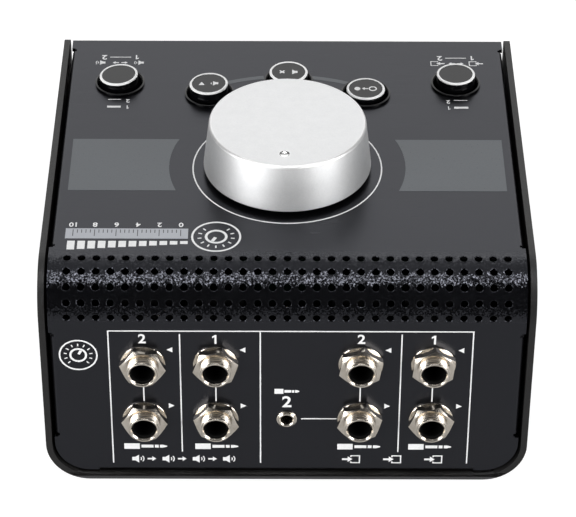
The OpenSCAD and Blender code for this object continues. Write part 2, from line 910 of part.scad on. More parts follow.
base_shell();
cover_panel();
rubber_feet();
case_screws();
knob_cap();
knob_hub();
pot_shaft();
pot_bushing();
pot_body();
pot_nut();
pot_washer();
button_cap(BUTTONS[0]);  // output_select_cap
button_ring(BUTTONS[0]);  // output_select_ring
button_plunger(BUTTONS[0]);  // output_select_plunger
button_cap(BUTTONS[1]);  // dim_cap
button_ring(BUTTONS[1]);  // dim_ring
button_plunger(BUTTONS[1]);  // dim_plunger
button_cap(BUTTONS[2]);  // mute_cap
button_ring(BUTTONS[2]);  // mute_ring
button_plunger(BUTTONS[2]);  // mute_plunger
button_cap(BUTTONS[3]);  // mono_cap
button_ring(BUTTONS[3]);  // mono_ring
button_plunger(BUTTONS[3]);  // mono_plunger
button_cap(BUTTONS[4]);  // input_select_cap
button_ring(BUTTONS[4]);  // input_select_ring
button_plunger(BUTTONS[4]);  // input_select_plunger
button_bezels();
switch_bodies();
control_board();
board_spacers();
board_screws();
jack_board();
jack_body(JACKS[0]);  // jack_body_1
jack_body(JACKS[1]);  // jack_body_2
jack_body(JACKS[2]);  // jack_body_3
jack_body(JACKS[3]);  // jack_body_4
jack_body(JACKS[4]);  // jack_body_5
jack_body(JACKS[5]);  // jack_body_6
jack_body(JACKS[6]);  // jack_body_7
jack_body(JACKS[7]);  // jack_body_8
jack_nose(JACKS[0]);  // jack_nose_1
jack_nose(JACKS[1]);  // jack_nose_2
jack_nose(JACKS[2]);  // jack_nose_3
jack_nose(JACKS[3]);  // jack_nose_4
jack_nose(JACKS[4]);  // jack_nose_5
jack_nose(JACKS[5]);  // jack_nose_6
jack_nose(JACKS[6]);  // jack_nose_7
jack_nose(JACKS[7]);  // jack_nose_8
jack_nuts();
jack_washers();
mini_jack_body();
mini_jack_nose();
ribbon_headers();
ribbon_cable();
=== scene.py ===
# %% [markdown]
# # A desktop studio monitor controller
# The real object is a wedge-shaped steel box that sits beside a computer keyboard. A broad aluminium
# knob sets the listening level, five push buttons choose what is heard, and nine sockets sit on the
# sloping rear plate. This script dresses the exact parts in paint, metal and ink, adds the pieces that
# are too fine for the construction model, and lights the whole like a product photograph.

# %% Load the frame
import json
import math

import bmesh
import bpy
import numpy as np
from mathutils import Matrix, Vector


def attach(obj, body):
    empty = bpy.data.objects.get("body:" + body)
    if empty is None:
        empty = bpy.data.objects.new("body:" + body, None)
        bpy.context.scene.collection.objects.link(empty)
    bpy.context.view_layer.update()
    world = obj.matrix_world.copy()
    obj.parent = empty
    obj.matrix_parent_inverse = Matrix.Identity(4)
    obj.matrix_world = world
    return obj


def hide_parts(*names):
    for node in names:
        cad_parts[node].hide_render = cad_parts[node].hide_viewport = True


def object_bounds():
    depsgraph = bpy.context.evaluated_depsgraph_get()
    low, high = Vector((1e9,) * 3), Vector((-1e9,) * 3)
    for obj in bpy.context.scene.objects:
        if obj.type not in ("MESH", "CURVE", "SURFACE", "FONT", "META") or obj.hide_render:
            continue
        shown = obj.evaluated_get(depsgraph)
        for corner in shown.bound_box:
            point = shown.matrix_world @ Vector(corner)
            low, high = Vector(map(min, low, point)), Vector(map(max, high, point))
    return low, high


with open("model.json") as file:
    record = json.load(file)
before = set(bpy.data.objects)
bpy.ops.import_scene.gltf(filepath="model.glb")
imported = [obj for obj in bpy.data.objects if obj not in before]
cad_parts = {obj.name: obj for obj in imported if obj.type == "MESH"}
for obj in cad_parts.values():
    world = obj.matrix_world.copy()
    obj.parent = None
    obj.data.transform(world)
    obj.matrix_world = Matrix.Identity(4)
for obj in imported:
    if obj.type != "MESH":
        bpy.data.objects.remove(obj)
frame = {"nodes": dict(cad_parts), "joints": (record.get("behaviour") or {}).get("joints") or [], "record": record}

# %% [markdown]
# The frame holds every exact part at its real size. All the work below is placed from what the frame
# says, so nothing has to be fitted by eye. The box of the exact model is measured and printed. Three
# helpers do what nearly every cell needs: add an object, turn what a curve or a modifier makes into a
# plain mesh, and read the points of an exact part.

MM = 0.001


def add(name, data):
    """A new object in the scene."""
    made = bpy.data.objects.new(name, data)
    bpy.context.scene.collection.objects.link(made)
    return made


def plain_mesh(holder):
    """What an object's curve or modifiers come to, as a mesh. The object is removed."""
    result = holder.evaluated_get(bpy.context.evaluated_depsgraph_get())
    mesh = bpy.data.meshes.new_from_object(result)
    bpy.data.objects.remove(holder)
    return mesh


def points_of(node, into=Matrix()):
    """The points of an exact part in metres, or as another place has them."""
    return np.array([into @ vertex.co for vertex in frame["nodes"][node].data.vertices])


cad_box = [list(corner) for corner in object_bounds()]
cad_size = [(high - low) / MM for low, high in zip(*cad_box)]
print("exact model", len(frame["nodes"]), "nodes,", [round(size, 1) for size in cad_size], "mm")

# %% [markdown]
# Drawings such as labels are made flat, in millimetres, and then laid on a plate. The knob turns about
# the top plate's normal, so the knob's joint gives the slope of the case. From it come three places to
# draw: the top plate, the rear plate, and the knob. In each one the first axis points to the reader's
# right, the second one up, and the third out of the surface.

# %% Places to draw on
KNOB_BACK = 58.1
knob_joint = next(joint for joint in frame["joints"] if joint["name"] == "knob_turn")
ACROSS = Vector((1, 0, 0))
TOP_OUT = Vector(knob_joint["axis"]).normalized()
REAR_OUT = TOP_OUT.cross(ACROSS)
knob_at = Vector(knob_joint["pos_m"])
rear_corner = knob_at + REAR_OUT * KNOB_BACK * MM


def place(origin, right, out):
    """Matrix from a drawing in millimetres, as (right, up, out), to the frame in metres."""
    turn = Matrix((right, out.cross(right), out)).transposed().to_4x4()
    return Matrix.Translation(origin) @ turn @ Matrix.Scale(MM, 4)


TOP = place(rear_corner, ACROSS, TOP_OUT)
REAR = place(rear_corner, -ACROSS, REAR_OUT)
KNOB = place(knob_at, ACROSS, TOP_OUT)
print("slope of the top plate", round(math.degrees(TOP_OUT.angle(Vector((0, 0, 1)))), 2), "degrees")

# %% [markdown]
# The camera stands behind the case and above it, where the photographer stood: the view shows the
# socket plate and looks down on the controls, which read upside down. Its place and lens were worked
# out from the straight edges and the socket rows, so the render can be laid over the photograph.

# %% Camera
LENS_MM = 168.3
EYE_FROM_CORNER = (2.286, 448.758, 635.722)
LOOK_DEG = (35.753, -0.244, -179.967)

camera_data = bpy.data.cameras.new("camera")
camera_data.lens = LENS_MM
camera_data.sensor_width = 36
camera_data.sensor_fit = "HORIZONTAL"
camera_data.clip_start = 0.05
camera = add("camera", camera_data)
camera.location = rear_corner + Vector(EYE_FROM_CORNER) * MM
camera.rotation_euler = [math.radians(angle) for angle in LOOK_DEG]
bpy.context.scene.camera = camera
bpy.context.scene.view_settings.view_transform = "Standard"
print("camera", round(camera.location.length, 3), "m from the middle of the footprint")

# %% [markdown]
# Materials and Geometry Nodes are both trees of nodes. Written out node by node they are long and hard
# to read, so one small class stands for an output socket and lets Python's own operators add the Math
# nodes: `1 - mask * 0.5` becomes two nodes and their links.


# %% Outputs that do arithmetic
class Wire:
    """One output of a node. Arithmetic on it adds Math nodes to the same tree."""

    def __init__(self, tree, node, out=0):
        self.tree = tree
        self.node = node
        self.socket = node.outputs[out]

    def __getitem__(self, out):
        return Wire(self.tree, self.node, out)

    def math(self, operation, *values):
        return self.tree.node("ShaderNodeMath", dict(enumerate(values)), operation=operation)

    def __add__(self, other):
        return self.math("ADD", self, other)

    def __sub__(self, other):
        return self.math("SUBTRACT", self, other)

    def __mul__(self, other):
        return self.math("MULTIPLY", self, other)

    def __truediv__(self, other):
        return self.math("DIVIDE", self, other)

    def __radd__(self, other):
        return self.math("ADD", other, self)

    def __rsub__(self, other):
        return self.math("SUBTRACT", other, self)

    def __rmul__(self, other):
        return self.math("MULTIPLY", other, self)

    def steps(self, low, high):
        """0 below low, 1 above high, and a smooth climb between them."""
        inputs = {"Value": self, "From Min": low, "From Max": high}
        return self.tree.node("ShaderNodeMapRange", inputs, interpolation_type="SMOOTHSTEP")


# %% [markdown]
# A second class adds any other node, from its type, its settings and what goes into its inputs. An
# input takes either a value or an output of another node, so links need no lines of their own.


# %% Trees of nodes
class Tree:
    """Adds nodes to a shader tree or a geometry tree."""

    def __init__(self, node_tree):
        self.nodes = node_tree.nodes
        self.links = node_tree.links

    def put(self, socket, value):
        if isinstance(value, Wire):
            self.links.new(value.socket, socket)
        elif socket.type == "RGBA":
            socket.default_value = (*value, 1.0)
        else:
            socket.default_value = value

    def node(self, kind, inputs=None, **settings):
        made = self.nodes.new(kind)
        for name, value in settings.items():
            setattr(made, name, value)
        for name, value in (inputs or {}).items():
            self.put(made.inputs[name], value)
        return Wire(self, made)

    def vector_math(self, operation, *values):
        return self.node("ShaderNodeVectorMath", dict(enumerate(values)), operation=operation)


# %% [markdown]
# Every finish is a Principled shader whose pattern is laid out in the object's own coordinates, so it
# keeps its real scale and stays on the surface when a button or the knob moves. Pictures wrapped round
# each piece could do the same, but they need unrolled surfaces and files, and noise needs neither.
# What is the same all over is set straight on the shader. The helpers below add what most finishes
# need: grain, blends of two colours, and bumps.


# %% A finish
BUMP_FILTER = 0.03


class Finish(Tree):
    """A material with one Principled shader, and helpers for patterns in real sizes."""

    def __init__(self, name, **constants):
        self.material = bpy.data.materials.new(name)
        self.material.use_nodes = True
        super().__init__(self.material.node_tree)
        self.nodes.clear()
        self.shader = self.nodes.new("ShaderNodeBsdfPrincipled")
        output = self.nodes.new("ShaderNodeOutputMaterial")
        self.links.new(self.shader.outputs[0], output.inputs["Surface"])
        for socket, value in constants.items():
            self.put(self.shader.inputs[socket.replace("_", " ")], value)
        self.where = self.node("ShaderNodeTexCoord")["Object"]
        print("finish", name)

    def feed(self, socket, value):
        self.put(self.shader.inputs[socket], value)

    def grain(self, feature_mm, detail=2.0, stretch=(1, 1, 1), roughness=0.5):
        """Noise centred on 0, whose blobs measure feature_mm, drawn out by stretch along each axis."""
        scale = [1 / (part * feature_mm * MM) for part in stretch]
        coordinates = self.node("ShaderNodeMapping", {"Vector": self.where, "Scale": scale})
        inputs = {"Vector": coordinates, "Scale": 1.0, "Detail": detail, "Roughness": roughness}
        return self.node("ShaderNodeTexNoise", inputs) - 0.5

    def along(self, direction, origin):
        """Distance in millimetres from origin, measured along direction."""
        offset = direction.dot(origin) / MM
        return self.vector_math("DOT_PRODUCT", self.where, tuple(direction / MM))["Value"] - offset

    def blend(self, factor, first, second):
        return self.node("ShaderNodeMix", {0: factor, 6: first, 7: second}, data_type="RGBA")[2]

    def bump(self, *layers):
        """Raises the surface by layers of (height, depth in millimetres), one on top of the other."""
        normal = None
        for height, depth_mm in layers:
            inputs = {"Height": height, "Distance": depth_mm * MM, "Filter Width": BUMP_FILTER}
            if normal is not None:
                inputs["Normal"] = normal
            normal = self.node("ShaderNodeBump", inputs)
        self.feed("Normal", normal)


# %% [markdown]
# The folded cover is sprayed with a fine black powder coat. On the flat top it has been levelled and
# carries a faint sideways grain, and round the big bend the powder stands up and sparkles under the
# lamp. Noise would only make a dull blur there. A Voronoi pattern cuts the bend into grains instead,
# and each grain is a small flat facet that leans its own way. Both are the same paint, so one material
# blends the two by how far a point lies round the bend.

# %% Paint of the folded cover
BEND_R = 13.34
GRAINS_PER_M = 2800.0
panel_paint = Finish("panel_paint", Specular_Tint=(0.83, 0.86, 1.0))
panel_paint.feed("Base Color", panel_paint.blend(
    panel_paint.grain(0.6, detail=4) * 2 + 0.5, (0.0007, 0.0007, 0.0009), (0.0018, 0.0018, 0.0022)))
behind = panel_paint.along(REAR_OUT, rear_corner)
above = panel_paint.along(TOP_OUT, rear_corner)
on_top = (0 - behind).steps(BEND_R - 2, BEND_R + 4)
on_rear = (0 - above).steps(BEND_R - 2, BEND_R + 2)
on_bend = (1 - on_top) * (1 - on_rear)
sideways = panel_paint.grain(0.35, detail=3, stretch=(60, 1, 1))
powder = panel_paint.grain(0.9, detail=1)
grains = panel_paint.node("ShaderNodeTexVoronoi", {
    "Vector": panel_paint.where, "Scale": GRAINS_PER_M})
gloss = panel_paint.node("ShaderNodeSeparateColor", {0: grains["Color"]})["Red"] - 0.5
lean_way = panel_paint.vector_math("SUBTRACT", grains["Color"], (0.5, 0.5, 0.5))
from_middle = panel_paint.vector_math("SUBTRACT", panel_paint.where, grains["Position"])
facet = panel_paint.vector_math("DOT_PRODUCT", lean_way, from_middle)["Value"] / MM
panel_paint.feed(
    "Roughness", 0.3 - on_bend * 0.14 + gloss * on_bend * 0.12 + sideways * on_top * 0.12)
panel_paint.bump(
    (powder * on_bend, 0.02), (facet * (on_bend * 0.98 + 0.02), 0.3), (sideways * on_top, 0.006))

# %% [markdown]
# The base shell is folded from thicker sheet. Its coat is the same black, a little warmer and duller,
# and the cut edges that frame the cover show its grain from close by. Below the rear plate the edge of
# its floor is rolled: the upper part leans back and mirrors the dark room. The lowest line of the whole
# shell, just over a millimetre tall, is coloured pale: a painted highlight for the light this edge
# catches. The exact part keeps its square edge, so the roll is a bump: its height falls steadily from
# ROLL_FROM to ROLL_TO millimetres above the foot of the sheet.

# %% Paint of the base shell
EDGE_HIGHLIGHT_UP_TO, ROLL_FROM, ROLL_TO = 1.15, 1.1, 2.6
case_paint = Finish("case_paint")
case_grain = case_paint.grain(0.5, detail=4, roughness=0.65)
case_behind = case_paint.along(REAR_OUT, rear_corner)
case_foot = points_of("base_shell")[:, 2].min()
height = case_paint.along(Vector((0, 0, 1)), Vector((0, 0, case_foot)))
# Painted highlight: the lowest part of the shell is coloured pale, where its edge catches the light.
painted_edge_highlight = 1 - height.steps(EDGE_HIGHLIGHT_UP_TO - 0.25, EDGE_HIGHLIGHT_UP_TO)
fine = case_paint.blend(case_grain * 2 + 0.5, (0.0017, 0.0015, 0.0015), (0.0045, 0.0041, 0.004))
case_paint.feed("Base Color", case_paint.blend(painted_edge_highlight, fine, (0.034, 0.034, 0.036)))
at_rear = case_behind.steps(-2.2, -1.6) * (1 - height.steps(ROLL_TO - 0.2, ROLL_TO + 0.2))
case_paint.feed("Roughness", 0.42 + case_grain * 0.3 - at_rear * (1 - painted_edge_highlight) * 0.22)
rolled_edge = ROLL_TO - height.math("MINIMUM", height.math("MAXIMUM", height, ROLL_FROM), ROLL_TO)
case_paint.bump((rolled_edge * at_rear, 0.8), (case_grain, 0.09))

# %% [markdown]
# The knob is turned from solid aluminium and bead-blasted, so it shines softly without any mirror
# image. The blasting leaves a fine even tooth with faint clouds in it, so two sizes of noise share the
# colour. Its cut rim and its dimple are smoother, and the rim's colour is raised as a painted highlight;
# both are added where the knob is made.

# %% Aluminium of the knob
knob_aluminium = Finish("knob_aluminium", Metallic=1.0)
tooth = knob_aluminium.grain(0.55, detail=2, roughness=0.7)
clouds = knob_aluminium.grain(2.5, detail=3)
blasted = knob_aluminium.blend(
    tooth * 0.8 + clouds * 0.5 + 0.5, (0.745, 0.75, 0.757), (0.87, 0.873, 0.875))
knob_aluminium.bump((tooth, 0.035))

# %% [markdown]
# The sockets, their nuts and washers are nickel plated. Nickel is a warm grey metal; its polish is
# bright but not perfect. A plain mirror would look like chrome, so small ripples break up what it
# shows, and a finer one on top of them dulls the edges of the highlights.

# %% Nickel of the sockets
nickel = Finish("nickel", Metallic=1.0)
ripple = nickel.grain(1.6, detail=2)
nickel.feed("Base Color", nickel.blend(ripple * 2 + 0.5, (0.58, 0.525, 0.45), (0.74, 0.69, 0.62)))
nickel.feed("Roughness", 0.22 + ripple * 0.1)
nickel.bump((ripple, 0.006), (nickel.grain(0.2, detail=2), 0.0015))

# %% [markdown]
# The button caps and the collars round them are polished black plastic, which mirrors the room in its
# slightly wavy skin. A satin white ring frames each cap. Their colour is even, so only the sheen and
# the height vary.

# %% Plastics of the buttons
gloss_black = Finish("gloss_black", IOR=1.42, Base_Color=(0.0015, 0.0015, 0.002))
gloss_wave = gloss_black.grain(1.5, detail=2)
gloss_black.feed("Roughness", 0.15 + gloss_wave * 0.1)
gloss_black.bump((gloss_wave, 0.01))

ring_white = Finish("ring_white", Base_Color=(0.88, 0.88, 0.88))
ring_white.feed("Roughness", 0.32 + ring_white.grain(0.8) * 0.1)
ring_white.bump((ring_white.grain(0.5), 0.004))

# %% [markdown]
# The rest is plain: rubber feet, blackened screws and, inside the case, mouldings, boards and a ribbon
# cable. They could each have a cell of their own, but they differ only in two colours, in sheen and in
# the size and depth of their grain in millimetres. So one function makes them all, from a table of
# plastics and a table of metals.


# %% Plain finishes
def speckled(name, dark, pale, rough, grain, deep, **constants):
    """A finish whose colour, sheen and height all follow one fine grain."""
    plain = Finish(name, **constants)
    speckle = plain.grain(grain, detail=3)
    plain.feed("Base Color", plain.blend(speckle * 1.6 + 0.5, dark, pale))
    plain.feed("Roughness", rough + speckle * 0.2)
    plain.bump((speckle, deep))
    return plain


PLASTICS = {
    "foot_rubber": ((0.012,) * 3, (0.024,) * 3, 0.75, 0.5, 0.03),
    "black_moulding": ((0.004,) * 3, (0.008,) * 3, 0.55, 0.3, 0.012),
    "pot_case": ((0.014, 0.03, 0.09), (0.02, 0.042, 0.12), 0.45, 0.4, 0.01),
    "board_green": ((0.003, 0.016, 0.008), (0.004, 0.024, 0.012), 0.34, 0.7, 0.01),
    "ribbon_grey": ((0.2, 0.21, 0.23), (0.27, 0.28, 0.3), 0.5, 0.6, 0.01),
    "stem_white": ((0.68, 0.68, 0.63), (0.76, 0.76, 0.71), 0.4, 0.5, 0.008),
}
METALS = {
    "black_screw_steel": ((0.03,) * 3, (0.06,) * 3, 0.36, 0.25, 0.008),
    "shaft_steel": ((0.5, 0.49, 0.47), (0.6, 0.59, 0.57), 0.26, 0.2, 0.004),
    "brass": ((0.6, 0.42, 0.18), (0.74, 0.56, 0.27), 0.25, 0.3, 0.004),
}
finishes = {
    "case_paint": case_paint, "panel_paint": panel_paint, "knob_aluminium": knob_aluminium,
    "nickel": nickel, "gloss_black": gloss_black, "ring_white": ring_white}
for slot, look in PLASTICS.items():
    finishes[slot] = speckled(slot, *look)
for slot, look in METALS.items():
    finishes[slot] = speckled(slot, *look, Metallic=1.0)

# %% [markdown]
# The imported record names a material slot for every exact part. Each slot's finish goes on the parts
# that carry its name, so the case, the boards and the buttons are all dressed by one short loop.

# %% Dress every exact part in the finish of its slot
for part in frame["record"]["subparts"]:
    for holder in frame["nodes"][part["node"]].material_slots:
        holder.material = finishes[part["material_slot"]].material
print("dressed", len(frame["record"]["subparts"]), "parts in", len(finishes), "finishes")

# %% [markdown]
# Everything that this script adds to the object is a piece: a named mesh in one finish, which moves
# with one body. A piece may also stand for exact parts that it replaces.


# %% Pieces
def piece(name, mesh, finish, body="case", replaces=()):
    """Adds a mesh as a named piece that moves with a body, and may stand for exact parts."""
    made = add(name, mesh)
    mesh.materials.clear()
    mesh.materials.append(finish.material)
    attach(made, body)
    if replaces:
        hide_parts(*replaces)
    print(name, len(mesh.polygons), "faces on", body)


# %% [markdown]
# The labels are screen printed: ink lies on the paint as a film with its own thin edge. They could be
# masks in the paint's material, but a mask has no edge to catch the light. So a drawing is collected
# as flat shapes and strokes in millimetres, and each becomes a closed slab as thick as the film.
# Digits start as font curves and are turned into a mesh before they join the drawing.

# %% A drawing in ink
INK_TOP, INK_FOOT = 0.045, -0.01
DIGIT_SHARE, DIGIT_SWELL = 0.7, 0.03
WELD_MM = 1e-4
FIGURE_ONE = [(-0.06, -0.5), (0.12, -0.5), (0.12, 0.5), (-0.03, 0.5), (-0.27, 0.32), (-0.27, 0.13),
              (-0.06, 0.27)]


def circle_points(centre, radius, count=96, start=0.0, turn=360.0):
    """Points round a circle. A whole turn leaves out the last point, which is the first again."""
    last = count if turn == 360 else count - 1
    angles = [math.radians(start + turn * n / last) for n in range(count)]
    return [(centre[0] + radius * math.cos(a), centre[1] + radius * math.sin(a)) for a in angles]


class Ink:
    """Flat shapes in millimetres that become one mesh of thin closed slabs."""

    def __init__(self):
        self.mesh = bmesh.new()

    def prism(self, outline):
        """A closed slab with the given outline, listed anticlockwise."""
        top = [self.mesh.verts.new((x, y, INK_TOP)) for x, y in outline]
        foot = [self.mesh.verts.new((x, y, INK_FOOT)) for x, y in outline]
        self.mesh.faces.new(top)
        self.mesh.faces.new(foot[::-1])
        for n in range(len(outline)):
            self.mesh.faces.new((top[n - 1], foot[n - 1], foot[n], top[n]))

    def shape(self, outline, at=(0, 0), size=1.0, turn=0.0):
        """A filled outline, drawn round (0, 0) and then sized, turned in degrees and moved."""
        cos, sin = math.cos(math.radians(turn)), math.sin(math.radians(turn))
        moved = [(at[0] + size * (x * cos - y * sin), at[1] + size * (x * sin + y * cos))
                 for x, y in outline]
        area = sum(a[0] * b[1] - b[0] * a[1] for a, b in zip(moved, moved[1:] + moved[:1]))
        self.prism(moved if area > 0 else moved[::-1])

    def box(self, left, foot, right, top):
        self.shape([(left, foot), (right, foot), (right, top), (left, top)])

    def band(self, inner, outer, closed):
        """A ribbon between two rows of points."""
        rails = []
        for points, z in ((inner, INK_TOP), (outer, INK_TOP), (outer, INK_FOOT), (inner, INK_FOOT)):
            rails.append([self.mesh.verts.new((x, y, z)) for x, y in points])
        first = 0 if closed else 1
        for n in range(first, len(inner)):
            for a, b in ((0, 1), (1, 2), (2, 3), (3, 0)):
                self.mesh.faces.new((rails[a][n - 1], rails[b][n - 1], rails[b][n], rails[a][n]))
        if not closed:
            self.mesh.faces.new([rail[0] for rail in rails][::-1])
            self.mesh.faces.new([rail[-1] for rail in rails])

    def stroke(self, points, width, closed=False):
        """A line of even width with mitred corners."""
        path = [Vector(point) for point in points]
        left, right = [], []
        for n, here in enumerate(path):
            before = path[n - 1] if n or closed else None
            after = path[(n + 1) % len(path)] if n + 1 < len(path) or closed else None
            ways = [(b - a).normalized() for a, b in ((before, here), (here, after)) if a and b]
            way = sum(ways, Vector((0, 0))).normalized()
            side = Vector((-way.y, way.x)) * width / 2 / max(way.dot(ways[0]), 0.3)
            left.append(tuple(here + side))
            right.append(tuple(here - side))
        self.band(left, right, closed)

    def ring(self, centre, radius, width, start=0.0, turn=360.0):
        points = circle_points(centre, radius, 96, start, turn)
        self.stroke(points, width, closed=turn == 360)

    def digits(self, text, at, height):
        """Plain figures, centred on a point. A one is drawn here, because the font's has no flag."""
        if text == "1":
            self.shape(FIGURE_ONE, at, height)
            return
        curve = bpy.data.curves.new("figures", "FONT")
        curve.body = text
        curve.align_x = "CENTER"
        curve.align_y = "CENTER"
        curve.size = height / DIGIT_SHARE
        curve.offset = height * DIGIT_SWELL
        curve.extrude = (INK_TOP - INK_FOOT) / 2
        mesh = plain_mesh(add("figures", curve))
        mesh.transform(Matrix.Translation((*at, (INK_TOP + INK_FOOT) / 2)))
        self.mesh.from_mesh(mesh)
        bpy.data.curves.remove(curve)
        bpy.data.meshes.remove(mesh)

    def finish(self, name, where, finish, body="case", slot="ring_white"):
        """Lays the drawing on its plate, as one piece."""
        mesh = bpy.data.meshes.new(name)
        bmesh.ops.remove_doubles(self.mesh, verts=self.mesh.verts, dist=WELD_MM)
        bmesh.ops.recalc_face_normals(self.mesh, faces=self.mesh.faces)
        self.mesh.to_mesh(mesh)
        self.mesh.free()
        mesh.transform(where)
        piece(name, mesh, finish, body)


# %% [markdown]
# White ink is pigment in a clear binder: matt, very bright, with a faint mottle where the mesh of the
# screen left it thinner. The function of the plain finishes gives just that.

# %% White ink
white_ink = speckled("white_ink", (0.7, 0.705, 0.715), (0.84, 0.84, 0.84), 0.55, 0.35, 0.01)

# %% [markdown]
# The pictures are plain symbols that explain a socket or a button without words: a loudspeaker, sound
# waves, a cross, arrows, a box that takes a signal in, and a jack plug seen from the side. Each is a
# list of corners round its own middle, about one unit tall, so it stays crisp at any size.

# %% Symbols
SPEAKER = [(-0.55, -0.22), (-0.25, -0.22), (0.12, -0.5), (0.12, 0.5), (-0.25, 0.22), (-0.55, 0.22)]
ARROW = [(-0.6, -0.13), (0.05, -0.13), (0.05, -0.42), (0.6, 0), (0.05, 0.42), (0.05, 0.13),
         (-0.6, 0.13)]
TRIANGLE = [(-0.4, -0.5), (0.5, 0), (-0.4, 0.5)]
OPEN_BOX = [(-0.1, 0.28), (-0.1, 0.45), (0.75, 0.45), (0.75, -0.45), (-0.1, -0.45), (-0.1, -0.28)]
PLUG_PARTS = ((0, 0.36, 1.0), (0.4, 0.68, 0.5), (0.71, 0.8, 0.5))
PLUG_TIP = [(0.83, -0.25), (0.9, -0.25), (1.0, -0.08), (1.0, 0.08), (0.9, 0.25), (0.83, 0.25)]
ARM_HALF, ARM_END = 0.13, 0.5
CROSS = [(x * cos - y * sin, x * sin + y * cos)
         for cos, sin in ((1, 0), (0, 1), (-1, 0), (0, -1))
         for x, y in ((ARM_HALF, ARM_HALF), (ARM_HALF, ARM_END), (-ARM_HALF, ARM_END))]


def draw_speaker(ink, at, size, waves=2):
    """A loudspeaker with its sound waves, each wave a short arc."""
    ink.shape(SPEAKER, at, size)
    for wave in range(waves):
        radius = size * (0.26 + 0.24 * wave)
        ink.ring((at[0] + size * 0.1, at[1]), radius, size * 0.1, start=-42, turn=84)


def draw_plug(ink, at, length, height):
    """A jack plug on its side: handle, sleeve, ring and tip, with the gaps of the insulators."""
    x, y = at[0] - length / 2, at[1]
    for start, stop, share in PLUG_PARTS:
        half = share * height / 2
        ink.box(x + start * length, y - half, x + stop * length, y + half)
    ink.shape([(x + u * length, y + w * height) for u, w in PLUG_TIP])


def draw_input(ink, at, size):
    """An arrow that runs into a box that is open on its left."""
    x, y = at
    ink.shape(ARROW, (x - size * 0.45, y), size * 0.85)
    ink.stroke([(x + size * u, y + size * w) for u, w in OPEN_BOX], size * 0.12)


DIAL_TICKS, DIAL_START, DIAL_TURN, DIAL_POINTER = 11, 225, 270, 63


def draw_dial(ink, centre, radius):
    """A ring with a level dial in it: ticks over three quarters of a turn, and a pointer."""
    def spoke(angle_deg, near, far, width):
        angle = math.radians(angle_deg)
        reach = (near * radius, far * radius)
        ink.stroke([(centre[0] + r * math.cos(angle), centre[1] + r * math.sin(angle)) for r in reach],
                   width * radius)

    ink.ring(centre, radius, 0.085 * radius)
    for tick in range(DIAL_TICKS):
        spoke(DIAL_START - DIAL_TURN * tick / (DIAL_TICKS - 1), 0.62, 0.78, 0.06)
    ink.ring(centre, radius * 0.42, 0.11 * radius)
    spoke(DIAL_POINTER, 0.06, 0.34, 0.14)


# %% [markdown]
# On the top plate a fine ring marks the sweep of the knob. Two thin bars beside each selector show
# which of two ways is chosen, a fine bar for one position of the button and a heavy bar for the other.
# All places are in millimetres from the rear corner, with the user's edge of the plate at the bottom.

# %% Print on the top plate
KNOB_XY = (0, -KNOB_BACK)
SWEEP_R = 28.85
WAYS = ((52.7, 56.8, 50.5), (-57.1, -52.8, -51.0))
FINE_FOOT, FINE_TOP, HEAVY_FOOT, HEAVY_TOP = -95.2, -94.92, -91.45, -90.45
TWO_Y, ONE_Y, WAY_FIGURE = -94.3, -90.7, 1.8
top_ink = Ink()
top_ink.ring(KNOB_XY, SWEEP_R, width=0.42)
for left, right, figure_x in WAYS:
    top_ink.box(left, FINE_FOOT, right, FINE_TOP)
    top_ink.box(left - 0.1, HEAVY_FOOT, right + 0.1, HEAVY_TOP)
    top_ink.digits("2", (figure_x, TWO_Y), WAY_FIGURE)
    top_ink.digits("1", (figure_x, ONE_Y), WAY_FIGURE)
top_ink.finish("print_top", TOP, white_ink)

# %% [markdown]
# Above each selector a row of symbols says what it switches: loudspeakers on one side, signals that
# come in on the other, with the number of each way below. Each label mirrors itself about its own
# middle, so one loop draws all four halves.

# %% Print above the selectors
OUTPUT_X, INPUT_X = 54.0, -54.6
SYMBOL_Y, FIGURE_Y = -116.35, -119.6
SYMBOL_OUT, FIGURE_OUT, ARROW_OUT, DASH_OUT, DASH_HALF = 6.2, 5.2, 1.4, 3.4, 0.16
selector_ink = Ink()
for middle, draw in ((OUTPUT_X, draw_speaker), (INPUT_X, draw_input)):
    for side, figure in ((-1, "1"), (1, "2")):
        arrow_at = (middle + side * ARROW_OUT, SYMBOL_Y)
        draw(selector_ink, (middle + side * SYMBOL_OUT, SYMBOL_Y), size=2.6)
        selector_ink.digits(figure, (middle + side * FIGURE_OUT, FIGURE_Y), height=2.5)
        selector_ink.shape(ARROW, arrow_at, size=1.7, turn=90 - 90 * side)
    selector_ink.box(
        middle - DASH_OUT, FIGURE_Y - DASH_HALF, middle + DASH_OUT, FIGURE_Y + DASH_HALF)
selector_ink.finish("print_selectors", TOP, white_ink)

# %% [markdown]
# In the corner by the vents a printed scale stands for a level: figures on one side, a pale bar with
# dark ticks, and steps that grow on the other side. The steps and marks are spaced by a rule, so loops
# draw them. A ring with a small dial is drawn beside the scale.

# %% Level scale in the corner
SCALE_LEFT, SCALE_RIGHT, SCALE_MARGIN = 29.4, 65.7, 2.2
SCALE_STEPS, STEP_SHARE = 12, 0.74
STEP_FOOT, STEP_LOW, STEP_GROWTH = -20.3, 1.4, 2.8
SCALE_FIGURES_Y = -28.45


def along_scale(share):
    """How far right a mark lies, from 0 for the scale's first mark to 1 for its last."""
    return SCALE_LEFT + SCALE_MARGIN + (SCALE_RIGHT - SCALE_LEFT - 2 * SCALE_MARGIN) * share


scale_ink = Ink()
step_w = (SCALE_RIGHT - SCALE_LEFT) / SCALE_STEPS
for n in range(SCALE_STEPS):
    left = SCALE_LEFT + n * step_w
    top = STEP_FOOT + STEP_LOW + STEP_GROWTH * n / (SCALE_STEPS - 1)
    scale_ink.box(left, STEP_FOOT, left + step_w * STEP_SHARE, top)
for n in range(6):
    scale_ink.digits(str(n * 2), (along_scale(n / 5), SCALE_FIGURES_Y), height=2.0)
draw_dial(scale_ink, (21.05, -22.55), radius=7.1)
scale_ink.finish("print_scale", TOP, white_ink)

